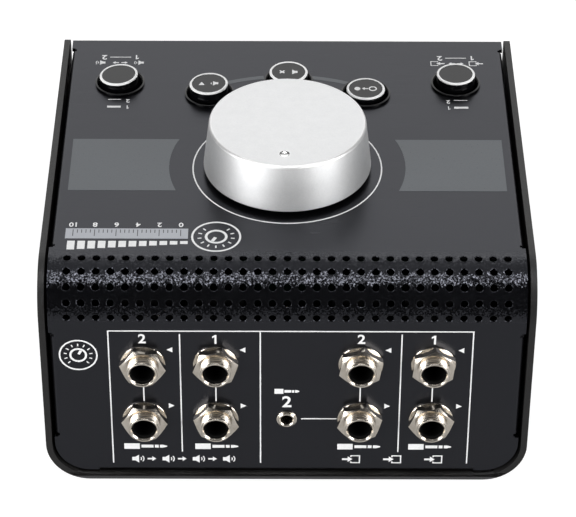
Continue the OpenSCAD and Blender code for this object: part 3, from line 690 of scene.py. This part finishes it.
# %% [markdown]
# The bar between the figures and the steps is a wider film of pale grey ink. Its ticks are dark and
# are printed over it, so they lie a fiftieth of a millimetre higher. Both inks have an even sheen, and
# only their colour and height are mottled, so one function makes them.


# %% Pale bar and its ticks
def even_ink(name, roughness, dark, pale):
    """An ink of one sheen, whose colour and height follow a fine mottle."""
    ink = Finish(name, Roughness=roughness)
    mottle = ink.grain(0.4, detail=3)
    ink.feed("Base Color", ink.blend(mottle + 0.5, dark, pale))
    ink.bump((mottle, 0.01))
    return ink


BAR_FOOT, BAR_TOP = -26.45, -21.53
TICKS, TICK_FOOT, TICK_HALF = 26, -25.9, 0.12
TICK_LONG, TICK_SHORT, TICK_LIFT = 3.2, 1.6, 0.02
pale_ink = even_ink("pale_ink", 0.5, (0.36, 0.375, 0.41), (0.43, 0.445, 0.48))
bar = Ink()
bar.box(SCALE_LEFT, BAR_FOOT, SCALE_RIGHT, BAR_TOP)
bar.finish("print_bar", TOP, pale_ink)

dark_ink = even_ink("dark_ink", 0.4, (0.02, 0.021, 0.024), (0.05, 0.052, 0.058))
ticks = Ink()
for n in range(TICKS):
    at_x = along_scale(n / (TICKS - 1))
    reach = TICK_LONG if n % 5 == 0 else TICK_SHORT
    ticks.box(at_x - TICK_HALF, TICK_FOOT, at_x + TICK_HALF, TICK_FOOT + reach)
above_bar = Matrix.Translation(TOP_OUT * TICK_LIFT * MM)
ticks.finish("print_ticks", above_bar @ TOP, dark_ink, slot="panel_paint")

# %% [markdown]
# Two grey fields flank the knob, and a pale arc joins the three middle buttons. They are printed in a
# thin grey ink that lets some of the black through, so they mirror the room almost like the paint. Its
# sheen varies with the mottle, unlike that of the two inks before it.

# %% Grey fields and arc
grey_ink = Finish("grey_ink")
grey_mottle = grey_ink.grain(0.45, detail=4)
grey_ink.feed("Base Color", grey_ink.blend(
    grey_mottle * 1.5 + 0.5, (0.059, 0.067, 0.076), (0.078, 0.088, 0.099)))
grey_ink.feed("Roughness", 0.3 + grey_mottle * 0.12)
grey_ink.bump((grey_mottle, 0.012))

FIELD_R, FIELD_MIDDLE = 36.2, -59.0
FIELD_TOP, FIELD_FOOT = -45.85, -73.0
FIELD_EDGES = ((1, 66.4), (-1, 66.5))
ARC_R, ARC_W, ARC_FROM, ARC_TURN = 50.4, 1.8, 8.6, 14.6
rise = math.degrees(math.asin((FIELD_TOP - FIELD_MIDDLE) / FIELD_R))
drop = math.degrees(math.asin((FIELD_FOOT - FIELD_MIDDLE) / FIELD_R))
hollow = circle_points((0, FIELD_MIDDLE), FIELD_R, 40, rise, drop - rise)
field_ink = Ink()
for side, edge in FIELD_EDGES:
    outline = [(edge, FIELD_FOOT), (edge, FIELD_TOP)] + hollow
    field_ink.shape([(side * x, y) for x, y in outline])
for start in (-90 + ARC_FROM, -90 - ARC_FROM - ARC_TURN):
    field_ink.ring(KNOB_XY, ARC_R, ARC_W, start=start, turn=ARC_TURN)
field_ink.finish("print_fields", TOP, grey_ink, slot="panel_paint")

# %% [markdown]
# The rear plate is drawn as a chart of what each socket does. A frame divides it into outputs and
# inputs, each pair of sockets is joined by a line and numbered, triangles tell left from right, and
# plug symbols sit below. The socket positions are read from the record, not typed in again.

# %% Frame and socket marks on the rear plate
mounts = {mount["name"]: REAR.inverted() @ Vector(mount["pos_m"])
          for mount in frame["record"]["mounts"]}
sockets = [mounts["jack_%d" % n] for n in range(1, 9)]
mini = mounts["mini_jack"]
LINE, CLEAR = 0.38, 6.9
FRAME = ((52.6, 69.05), (52.6, 17.7), (-54.7, 17.7), (-54.8, 69.05))
DIVIDERS = ((7.9, 17.95, 69.0), (31.6, 18.8, 64.5), (-33.75, 18.8, 64.5))
PAIR_FIGURE_Y, PAIR_PLUG_Y = -20.8, -62.4
MARK_RIGHT, UPPER_MARK, LOWER_MARK, MARK_SIZE = 8.1, 5.3, 5.1, 1.9


def rear(x, depth):
    """A place on the rear plate from the case's x and the depth below its rear corner."""
    return (-x, -depth)


rear_ink = Ink()
rear_ink.stroke([rear(*point) for point in FRAME], LINE)
for x, top, foot in DIVIDERS:
    rear_ink.stroke([rear(x, top), rear(x, foot)], LINE)
for upper, lower, figure in zip(sockets[:4], sockets[4:], "2121"):
    rear_ink.stroke([(upper.x, upper.y - CLEAR), (lower.x, lower.y + CLEAR)], LINE)
    rear_ink.digits(figure, (upper.x, PAIR_FIGURE_Y), height=3.3)
    rear_ink.shape(TRIANGLE, (upper.x + MARK_RIGHT, upper.y + UPPER_MARK), MARK_SIZE, turn=180)
    rear_ink.shape(TRIANGLE, (lower.x + MARK_RIGHT, lower.y + LOWER_MARK), MARK_SIZE)
    draw_plug(rear_ink, (lower.x, PAIR_PLUG_Y), length=13, height=2.2)
print("sockets", [(round(spot.x, 2), round(spot.y, 2)) for spot in sockets], "mm")

# %% [markdown]
# The small socket is joined to the pair beside it, and both carry the number two. The lowest row has
# loudspeakers under the outputs and signal boxes under the inputs, and a ring with a small dial fills
# a corner. It all joins the same drawing, because the plate is printed in one pass.

# %% Small socket and the lowest row
MINI_CLEAR, MINI_FIGURE_Y, MINI_PLUG_Y = 4.3, -44.9, -40.6
ROW_Y, OUTPUTS_X, OUTPUT_STEP, INPUTS_X, INPUT_STEP = -67.45, -31.4, 9.2, 32.35, 12.5
rear_ink.stroke([(mini.x + MINI_CLEAR, mini.y), (sockets[6].x - CLEAR, mini.y)], LINE)
rear_ink.digits("2", (mini.x, MINI_FIGURE_Y), height=4.1)
draw_plug(rear_ink, (mini.x, MINI_PLUG_Y), length=7.4, height=1.9)
for n in range(4):
    draw_speaker(rear_ink, (OUTPUTS_X + (n - 1.5) * OUTPUT_STEP, ROW_Y), size=3.1)
for n in range(3):
    rear_ink.shape(ARROW, (OUTPUTS_X + (n - 1) * OUTPUT_STEP - 0.3, ROW_Y), size=2.2)
    draw_input(rear_ink, (INPUTS_X + (n - 1) * INPUT_STEP, ROW_Y), size=3.1)
draw_dial(rear_ink, rear(61.6, 26.85), radius=5.5)
rear_ink.finish("print_rear", REAR, white_ink)

# %% [markdown]
# Every button cap carries its symbol. The cap's own place and lean are measured from the white ring
# that frames it: the middle of its points, and the direction in which they spread the least.

# %% Symbols on the buttons
CAP_DISH = 0.15


def cap_place(name):
    """Where to draw on a button: on the cap's face, just below the top of its ring."""
    points = points_of(name + "_ring")
    middle = points.mean(axis=0)
    out = Vector(np.linalg.svd(points - middle, full_matrices=False)[2][2])
    out = out if out.dot(TOP_OUT) > 0 else -out
    height = max((points - middle) @ np.array(out))
    right = (ACROSS - out * ACROSS.dot(out)).normalized()
    return place(Vector(middle) + out * (height - CAP_DISH * MM), right, out)


def draw_dim(ink):
    draw_speaker(ink, (-1.7, 0), 2.5, waves=1)
    ink.shape(TRIANGLE, (2.2, 0), 1.9, turn=-90)


def draw_mute(ink):
    ink.shape(SPEAKER, (-1.5, 0), 2.6)
    ink.shape(CROSS, (2.0, 0), 2.0, turn=45)


def draw_mono(ink):
    ink.ring((-2.3, 0), 1.1, 0.42)
    ink.shape(ARROW, (0.2, 0), 1.7)
    ink.shape(circle_points((0, 0), 1.0, 40), (2.6, 0), 0.95)


for name, draw in (("dim", draw_dim), ("mute", draw_mute), ("mono", draw_mono)):
    cap_ink = Ink()
    draw(cap_ink)
    cap_ink.finish("symbol_" + name, cap_place(name), white_ink, body=name + "_button")

# %% [markdown]
# ## Shapes that follow a rule
# Turned parts, threads and rows of punched holes each follow a rule, so Geometry Nodes groups grow
# them. The class below gives a group its named inputs, ends it with the piece's material, and runs it
# once on a mesh. What it hands back is a plain mesh, so no modifier is left for the export to meet.


# %% Geometry groups
class GeometryTree(Tree):
    """A Geometry Nodes group with named inputs."""

    def __init__(self, name, **inputs):
        self.group = bpy.data.node_groups.new(name, "GeometryNodeTree")
        super().__init__(self.group)
        interface = self.group.interface
        interface.new_socket("Geometry", in_out="INPUT", socket_type="NodeSocketGeometry")
        self.named = {}
        for label, kind in inputs.items():
            socket = interface.new_socket(label, in_out="INPUT", socket_type="NodeSocket" + kind)
            self.named[label] = socket.identifier
        interface.new_socket("Geometry", in_out="OUTPUT", socket_type="NodeSocketGeometry")
        self.given = self.node("NodeGroupInput")

    def finish(self, geometry):
        """Ends the group: realised instances, one material."""
        real = self.node("GeometryNodeRealizeInstances", {0: geometry})
        painted = self.node("GeometryNodeSetMaterial", {0: real, "Material": self.given["Material"]})
        output = self.nodes.new("NodeGroupOutput")
        self.put(output.inputs[0], painted)

    def grow(self, name, source, **values):
        """Runs the group on a mesh and returns the plain mesh that comes out."""
        holder = add(name, source)
        modifier = holder.modifiers.new(name, "NODES")
        modifier.node_group = self.group
        for label, value in values.items():
            modifier[self.named[label]] = value
        mesh = plain_mesh(holder)
        mesh.name = name
        return mesh


# %% [markdown]
# The knob, the collars and the bushes are solids of revolution, and so are the lips that the punch
# leaves round the vent holes. They all come from one small group that sweeps a profile round an axis,
# as a lathe does. The profile is a chain of edges, which the group takes in as a mesh.


# %% Lathe
def sweep_round(tree):
    """Adds the nodes that sweep the group's chain of edges round z and close the poles."""
    chain = tree.node("GeometryNodeMeshToCurve", {0: tree.given["Geometry"]})
    circle = tree.node("GeometryNodeCurvePrimitiveCircle", {
        "Resolution": tree.given["Segments"], "Radius": tree.given["Axis_distance"]})
    swept = tree.node("GeometryNodeCurveToMesh", {"Curve": circle, "Profile Curve": chain})
    return tree.node("GeometryNodeMergeByDistance", {0: swept, "Distance": 1e-6})


lathe = GeometryTree("lathe", Axis_distance="Float", Segments="Int", Material="Material")
lathe.finish(sweep_round(lathe))
print("lathe group with", len(lathe.nodes), "nodes")

# %% [markdown]
# A turned part has no truly sharp corner, and each small radius catches its own line of light. So a
# profile is given as a few corners with their radii, and the arcs are worked out here. A bevel
# afterwards would do the same to every edge of the mesh, and this way each corner keeps its own.


# %% Profiles with rounded corners
def rounded(corners, closed=False, steps=6):
    """A chain of points through (radius, height, rounding) corners, in millimetres."""
    chain = []
    places = [Vector(corner[:2]) for corner in corners]
    for n, (here, corner) in enumerate(zip(places, corners)):
        rounding = corner[2] if len(corner) == 3 else 0
        has_sides = closed or 0 < n < len(corners) - 1
        if not rounding or not has_sides:
            chain.append(here)
            continue
        back = (places[n - 1] - here).normalized()
        ahead = (places[(n + 1) % len(places)] - here).normalized()
        half = back.angle(ahead) / 2
        centre = here + (back + ahead).normalized() * rounding / math.sin(half)
        first = (here + back * rounding / math.tan(half) - centre).normalized()
        last = (here + ahead * rounding / math.tan(half) - centre).normalized()
        chain += [centre + first.slerp(last, step / steps) * rounding for step in range(steps + 1)]
    return chain


AXIS_DISTANCE = 10 * MM


def profile_mesh(name, corners, closed=False):
    """The chain as a mesh of edges, measured from a circle of radius AXIS_DISTANCE."""
    points = [(p.x * MM - AXIS_DISTANCE, -p.y * MM, 0) for p in rounded(corners, closed)]
    edges = [(n, n + 1) for n in range(len(points) - 1)]
    if closed:
        edges.append((len(points) - 1, 0))
    mesh = bpy.data.meshes.new(name)
    mesh.from_pydata(points, edges, [])
    return mesh


def turned(name, corners, finish, segments, closed=False):
    """A solid of revolution about z, in metres, from corners that run down its outside."""
    return lathe.grow(name, profile_mesh(name, corners, closed), Axis_distance=AXIS_DISTANCE,
                      Segments=segments, Material=finish.material)


# %% [markdown]
# Parts that are made once are placed several times, so a helper joins copies of a mesh into one
# piece. Another makes curved faces shade smoothly and keeps real edges crisp. The turned meshes are in
# metres and the places to draw on in millimetres, so METRES goes between them.


# %% Smooth and join
def smooth(mesh, sharp_deg=35):
    """Smooth shading that breaks at the real edges."""
    mesh.shade_smooth()
    mesh.set_sharp_from_angle(angle=math.radians(sharp_deg))


def joined(name, parts):
    """One mesh from several (mesh, matrix) pairs."""
    together = bmesh.new()
    for mesh, where in parts:
        copy = mesh.copy()
        copy.transform(where)
        together.from_mesh(copy)
        bpy.data.meshes.remove(copy)
    result = bpy.data.meshes.new(name)
    together.to_mesh(result)
    together.free()
    return result


METRES = Matrix.Scale(1 / MM, 4)


# %% [markdown]
# The knob is one turned cup of aluminium. Its top edge is softened by a narrow radius that catches a
# bright line of light, and its side widens a little towards the plate. The hollow under the roof
# leaves room for the hub that grips the shaft. The exact cap gives way to this finer one.

# %% Knob cup
KNOB_TOP, KNOB_FOOT = 17.14, 1.73
KNOB_TOP_R, KNOB_FOOT_R, KNOB_WALL, KNOB_ROOF = 23.8, 25.6, 3.1, 2.5
KNOB_EDGE_R = 1.0
roof_r = KNOB_TOP_R - KNOB_WALL
knob_mesh = turned("knob_cup", [
    (0, KNOB_TOP), (KNOB_TOP_R, KNOB_TOP, KNOB_EDGE_R), (KNOB_FOOT_R, KNOB_FOOT, 0.3),
    (KNOB_FOOT_R - KNOB_WALL, KNOB_FOOT, 0.3), (roof_r, KNOB_TOP - KNOB_ROOF, 0.6),
    (0, KNOB_TOP - KNOB_ROOF)], knob_aluminium, segments=256)
print("knob cup", len(knob_mesh.polygons), "faces, wall", KNOB_WALL, "mm")

# %% [markdown]
# A ball cutter has left a dimple near the rim, which a fingertip finds and which shows where the knob
# points. It is cut here by a ball too. A shallow bump would look the same from above, but from the
# side its shadow would be missing.

# %% Ball cutter for the dimple
DIMPLE_OUT, DIMPLE_DEG, DIMPLE_R, BALL_R = 17.3, 87.0, 1.55, 2.0
ball_mesh = bpy.data.meshes.new("ball_cutter")
ball = bmesh.new()
bmesh.ops.create_uvsphere(ball, u_segments=48, v_segments=32, radius=BALL_R * MM)
ball.to_mesh(ball_mesh)
ball.free()
dimple_angle = math.radians(DIMPLE_DEG)
dimple_at = (DIMPLE_OUT * math.cos(dimple_angle), DIMPLE_OUT * math.sin(dimple_angle),
             KNOB_TOP + math.sqrt(BALL_R ** 2 - DIMPLE_R ** 2))
ball_mesh.transform(Matrix.Translation(Vector(dimple_at) * MM))
dimple_deep = BALL_R - dimple_at[2] + KNOB_TOP
print("dimple", 2 * DIMPLE_R, "mm across and", round(dimple_deep, 2), "mm deep")

# %% [markdown]
# The dimple and the top edge were cut after the blasting, so both are smoother than the rest, and the
# edge's colour is also raised almost to white, a painted highlight for the bright line it catches. In the
# material each is a mask in real sizes: the dimple is what lies near the ball, and the edge is a band
# of heights just under the top. Separate materials would need a seam where one finish meets the next.

# %% Sheen of the dimple, and painted highlight of the edge
ball_middle = tuple(KNOB @ Vector(dimple_at))
to_dimple = knob_aluminium.vector_math("DISTANCE", knob_aluminium.where, ball_middle)["Value"] / MM
polished = 1 - to_dimple.steps(BALL_R + 0.02, BALL_R + 0.2)
knob_height = knob_aluminium.along(TOP_OUT, knob_at)
over_edge = knob_height.steps(KNOB_TOP - KNOB_EDGE_R, KNOB_TOP - 0.8 * KNOB_EDGE_R)
rim_polish_and_highlight = over_edge * (1 - knob_height.steps(KNOB_TOP - 0.05, KNOB_TOP))
# Painted highlight: the edge band's colour is raised almost to white.
knob_aluminium.feed("Base Color", knob_aluminium.blend(rim_polish_and_highlight, blasted, (0.98, 0.98, 0.98)))
knob_aluminium.feed("Roughness", 0.54 + tooth * 0.12 - polished * 0.31 - rim_polish_and_highlight * 0.05)
print("knob finish with", len(knob_aluminium.nodes), "nodes")

# %% [markdown]
# The ball is taken out of the cup by a Boolean, whose exact solver keeps the mesh closed. The knob is
# the only piece that rides on the knob's body and shows, so the dimple turns with it.


# %% Cut the dimple
def cut_away(mesh, cutter_mesh):
    """The mesh less the cutter, by a Boolean modifier that is applied and removed."""
    holder = add("holder", mesh)
    cutter = add("cutter", cutter_mesh)
    cut = holder.modifiers.new("cut", "BOOLEAN")
    cut.operation = "DIFFERENCE"
    cut.object = cutter
    cut.solver = "EXACT"
    result = plain_mesh(holder)
    bpy.data.objects.remove(cutter)
    return result


knob_done = cut_away(knob_mesh, ball_mesh)
smooth(knob_done)
knob_done.transform(KNOB @ METRES)
piece("knob_cup", knob_done, knob_aluminium, "knob", replaces=["knob_cap"])

# %% [markdown]
# A glossy collar lines the hole of each button. It is a narrow ring with a rounded crown, and all five
# are the same part, so one is turned and placed five times. Where they stand is measured on the exact
# collars, from the points that lie near each button.

# %% Button collars
BUTTONS = ["output_select", "dim", "mute", "mono", "input_select"]
COLLAR_IN, COLLAR_NECK, COLLAR_OUT, COLLAR_FOOT, COLLAR_REACH = 6.9, 7.25, 7.9, -3.4, 10
collar = turned("collar", [
    (COLLAR_IN, 0.42, 0.1), (7.38, 0.9, 0.12), (7.88, 0.78, 0.04), (COLLAR_OUT, 0),
    (COLLAR_NECK, 0), (COLLAR_NECK, COLLAR_FOOT), (COLLAR_IN, COLLAR_FOOT)],
    gloss_black, segments=96, closed=True)
collar_points = points_of("button_bezels", TOP.inverted())
collar_parts = []
for name in BUTTONS:
    near = points_of(name + "_ring", TOP.inverted()).mean(axis=0)[:2]
    own = collar_points[np.linalg.norm(collar_points[:, :2] - near, axis=1) < COLLAR_REACH]
    middle = (own.max(axis=0) + own.min(axis=0)) / 2
    collar_parts.append((collar, TOP @ Matrix.Translation((middle[0], middle[1], 0)) @ METRES))
collars = joined("button_collars", collar_parts)
smooth(collars, sharp_deg=50)
piece("button_collars", collars, gloss_black, replaces=["button_bezels"])

# %% [markdown]
# Each socket's bush is a nickel-plated tube with a real helical thread, on which the nut runs. The
# thread is a small tooth swept along a spiral that climbs one pitch a turn, right-handed. Rings or a
# bump would be simpler, but their lines would not climb, and the open end would look wrong.

# %% Thread group
threader = GeometryTree("thread", Radius="Float", Turns="Float", Height="Float", Material="Material")
spiral = threader.node("GeometryNodeCurveSpiral", {
    "Resolution": 64, "Rotations": threader.given["Turns"], "Height": threader.given["Height"],
    "Start Radius": threader.given["Radius"], "End Radius": threader.given["Radius"], "Reverse": True})
upright = threader.node("GeometryNodeSetCurveNormal", {0: spiral}, mode="Z_UP")
tooth_chain = threader.node("GeometryNodeMeshToCurve", {0: threader.given["Geometry"]})
threader.finish(threader.node("GeometryNodeCurveToMesh", {
    "Curve": upright, "Profile Curve": tooth_chain, "Fill Caps": True}))
print("thread group with", len(threader.nodes), "nodes")

# %% [markdown]
# A bush has a chamfered mouth, so a plug slides in, and a rounded lip round it. The chamfer mirrors
# the strip lamp straight above, which draws the bright line round each socket. The tube is a turned
# profile and the thread is grown by its own group, and both are made once for all eight.

# %% Threaded bush
BUSH_R, THREAD_DEEP, PITCH = 4.7, 0.45, 0.75
THREAD_FROM, THREAD_TO = 2.6, 5.0
MOUTH_R, BUSH_TOP, BUSH_FOOT = 3.6, 5.6, -8.0
LIP_R, FLARE_R, FLARE_DEEP = 4.52, 4.0, 0.48
root_r = BUSH_R - THREAD_DEEP
tooth_profile = profile_mesh("tooth", [
    (root_r - 0.04, -PITCH * 0.46), (BUSH_R, -PITCH * 0.07), (BUSH_R, PITCH * 0.07),
    (root_r - 0.04, PITCH * 0.46)], closed=True)
climb = THREAD_TO - THREAD_FROM
thread = threader.grow("thread", tooth_profile, Radius=AXIS_DISTANCE, Turns=climb / PITCH,
                       Height=climb * MM, Material=nickel.material)
bush = turned("bush", [
    (MOUTH_R, BUSH_TOP - FLARE_DEEP), (FLARE_R, BUSH_TOP, 0.08), (LIP_R, BUSH_TOP, 0.22),
    (LIP_R, BUSH_TOP - 0.45), (root_r, BUSH_TOP - 0.6), (root_r, BUSH_FOOT),
    (MOUTH_R, BUSH_FOOT)], nickel, segments=128, closed=True)
print("bush", len(bush.polygons), "faces, thread", len(thread.polygons), "faces")

# %% [markdown]
# Inside the tube a liner of matt black moulding carries the plug, which is why the sockets look black
# to the rim. It starts a millimetre down. Bush and liner are placed at each socket that the record
# lists, as pieces of their own, because they are of different stuff.

# %% Liners, and all eight sockets
BORE_R, LINER_TOP = 3.25, 4.6
bore_black = speckled(
    "bore_black", (0.001,) * 3, (0.002,) * 3, 0.7, 0.3, 0.01, Specular_IOR_Level=0.08)
liner = turned("liner", [
    (BORE_R, LINER_TOP - 0.4, 0.1), (MOUTH_R, LINER_TOP), (MOUTH_R, BUSH_FOOT),
    (BORE_R, BUSH_FOOT)], bore_black, segments=96, closed=True)
thread_start = Matrix.Translation((0, 0, THREAD_FROM * MM))
for number, socket in enumerate(sockets, 1):
    spot = REAR @ Matrix.Translation((socket.x, socket.y, 0)) @ METRES
    bush_mesh = joined("bush_%d" % number, [(bush, spot), (thread, spot @ thread_start)])
    smooth(bush_mesh, sharp_deg=30)
    piece("bush_%d" % number, bush_mesh, nickel, replaces=["jack_nose_%d" % number])
    liner_mesh = joined("liner_%d" % number, [(liner, spot)])
    smooth(liner_mesh, sharp_deg=40)
    piece("liner_%d" % number, liner_mesh, bore_black)

# %% [markdown]
# The vent holes are punched before the sheet is bent. The punch draws the edge of each hole inwards,
# and the paint follows it as a tiny rolled lip. The lips follow the same rule as the holes: a grid of
# points is rolled round the bend by a formula, and one turned lip is set upright on every point.

# %% Group of the vent lips
VENT_COLS, VENT_ROWS, VENT_PITCH, VENT_R = 31, 5, 4.3, 1.175
VENT_FIRST, VENT_STEP = math.radians(5.5), math.radians(20.6)
vents = GeometryTree("vent_lips", Axis_distance="Float", Segments="Int", Bend_radius="Float",
                     Pitch="Float", First_angle="Float", Step_angle="Float", Material="Material")
lip = sweep_round(vents)
grid = vents.node("GeometryNodeMeshGrid", {
    "Size X": vents.given["Pitch"] * (VENT_COLS - 1), "Size Y": VENT_ROWS - 1.0,
    "Vertices X": VENT_COLS, "Vertices Y": VENT_ROWS})
flat = vents.node("ShaderNodeSeparateXYZ", {0: vents.node("GeometryNodeInputPosition")})
lean = (flat["Y"] + (VENT_ROWS - 1) / 2) * vents.given["Step_angle"] + vents.given["First_angle"]
bend_radius = vents.given["Bend_radius"]
rolled = vents.node("ShaderNodeCombineXYZ", {
    "X": flat["X"], "Y": (lean.math("SINE", lean) - 1) * bend_radius,
    "Z": (lean.math("COSINE", lean) - 1) * bend_radius})
noted = vents.node("GeometryNodeStoreNamedAttribute", {
    "Geometry": grid, "Name": "lean",
    "Value": vents.node("ShaderNodeCombineXYZ", {"X": 0 - lean})}, data_type="FLOAT_VECTOR")
round_bend = vents.node("GeometryNodeSetPosition", {"Geometry": noted, "Position": rolled})
upright_turn = vents.node(
    "GeometryNodeInputNamedAttribute", {"Name": "lean"}, data_type="FLOAT_VECTOR")
vents.finish(vents.node("GeometryNodeInstanceOnPoints", {
    "Points": round_bend, "Instance": lip, "Rotation": upright_turn}))
print("vent group with", len(vents.nodes), "nodes for", VENT_COLS * VENT_ROWS, "holes")

# %% [markdown]
# The lip's profile starts inside the sheet, rises a hundredth of a millimetre over the paint and dips
# into the hole, so each hole gets a soft edge instead of a knife edge. A bevel on the exact sheet
# would need every hole cut again, and the lips lie on it without that.

# %% Lips of the vent holes
lip_profile = profile_mesh("lip", [
    (VENT_R - 0.07, -0.13), (VENT_R + 0.1, 0.014, 0.18), (VENT_R + 0.28, -0.012),
    (VENT_R - 0.02, -0.25)], closed=True)
lips = vents.grow("vent_lips", lip_profile, Axis_distance=AXIS_DISTANCE, Segments=28,
                  Bend_radius=BEND_R * MM, Pitch=VENT_PITCH * MM, First_angle=VENT_FIRST,
                  Step_angle=VENT_STEP, Material=panel_paint.material)
smooth(lips, sharp_deg=50)
lips.transform(TOP @ METRES)
piece("vent_lips", lips, panel_paint)

# %% [markdown]
# The lamps stand where a product photographer puts them. A pale wall on the far side of the object is
# what the sloping top plate and the flat top of the knob mirror. A narrow strip straight above draws
# the bright line along the bend. Two softboxes beside the camera model the round side of the knob and
# light the sockets, and the room behind the camera is dark, which keeps the paint black. The wall is
# painted into the world by direction, each axis going from -1 to 1, so it has no edge to mirror.

# %% World
WALL_LIGHT, HIGH_LIGHT, ROOM_LIGHT = 1.44, 0.5, 0.03
world = bpy.data.worlds.new("studio")
world.use_nodes = True
bpy.context.scene.world = world
room = Tree(world.node_tree)
room.nodes.clear()
direction = room.node("ShaderNodeTexCoord")["Generated"]
axes = room.node("ShaderNodeSeparateXYZ", {0: direction})
toward_wall = (0 - axes["Y"]).steps(0.6, 0.88)
low_wall = 1 - axes["Z"].steps(0.42, 0.78)
high = axes["Z"].steps(0.4, 0.8) * (0 - axes["Y"]).steps(-0.05, 0.25)
studio_light = ROOM_LIGHT + toward_wall * low_wall * WALL_LIGHT + high * HIGH_LIGHT
seen = room.node("ShaderNodeLightPath")["Is Camera Ray"]
level = studio_light + seen * (1 - studio_light)
background = room.node("ShaderNodeBackground", {"Color": (1.0, 1.0, 1.0), "Strength": level})
world_output = room.nodes.new("ShaderNodeOutputWorld")
room.put(world_output.inputs["Surface"], background)
print("world: wall", WALL_LIGHT, "ceiling", HIGH_LIGHT, "room", ROOM_LIGHT)

# %% [markdown]
# Each lamp is a flat panel given by its place, its size and how bright its face is. Power is worked
# out from the face, so a panel can be made larger without changing how it looks in a mirror. The
# camera does not see the panels, only what they light.

# %% Lamps
LAMPS = {
    "overhead_strip": {"at": (0, 0.06, 1.2), "size": (1.0, 0.12), "light": 14.5, "aim": (0, 0, 0)},
    "left_box": {"at": (0.95, 0.8, 0.5), "size": (0.75, 0.75), "light": 8.7, "aim": (0, 0, 0.04)},
    "right_box": {"at": (-1.0, 0.7, 0.5), "size": (0.75, 0.75), "light": 7.2, "aim": (0, 0, 0.04)},
}
for name, lamp in LAMPS.items():
    data = bpy.data.lights.new(name, "AREA")
    data.shape = "RECTANGLE"
    data.size = lamp["size"][0]
    data.size_y = lamp["size"][1]
    data.energy = lamp["light"] * math.pi * data.size * data.size_y
    stand = add(name, data)
    stand.location = lamp["at"]
    aim = Vector(lamp["aim"]) - stand.location
    stand.rotation_euler = aim.to_track_quat("-Z", "Y").to_euler()
    stand.visible_camera = False
    print(name, round(data.energy, 2), "W")

# %% [markdown]
# The floor is a wide sheet of pale paper. It catches the soft shadow round the feet, and a little glow
# that only the camera sees carries it to pure white, so the sheet has no visible edge or horizon.

# %% Floor
FLOOR_HALF, FLOOR_DROP = 4.0, 0.0001
FLOOR_LIFT, GLOW_FROM, GLOW_FULL = 0.74, 0.3, 0.9
floor_mesh = bpy.data.meshes.new("floor")
floor_at = [(x * FLOOR_HALF, y * FLOOR_HALF, -FLOOR_DROP)
            for x, y in ((-1, -1), (1, -1), (1, 1), (-1, 1))]
floor_mesh.from_pydata(floor_at, [], [(0, 1, 2, 3)])
floor = add("floor", floor_mesh)
paper = Finish("floor_paper", Roughness=0.9, Base_Color=(0.44, 0.44, 0.44), Emission_Strength=1.0)
floor_seen = paper.node("ShaderNodeLightPath")["Is Camera Ray"]
far_out = paper.vector_math("LENGTH", paper.where)["Value"].steps(GLOW_FROM, GLOW_FULL)
glow = paper.blend(far_out, (FLOOR_LIFT,) * 3, (1.0, 1.0, 1.0))
paper.feed("Emission Color", paper.blend(floor_seen, (0.0, 0.0, 0.0), glow))
floor_mesh.materials.append(paper.material)
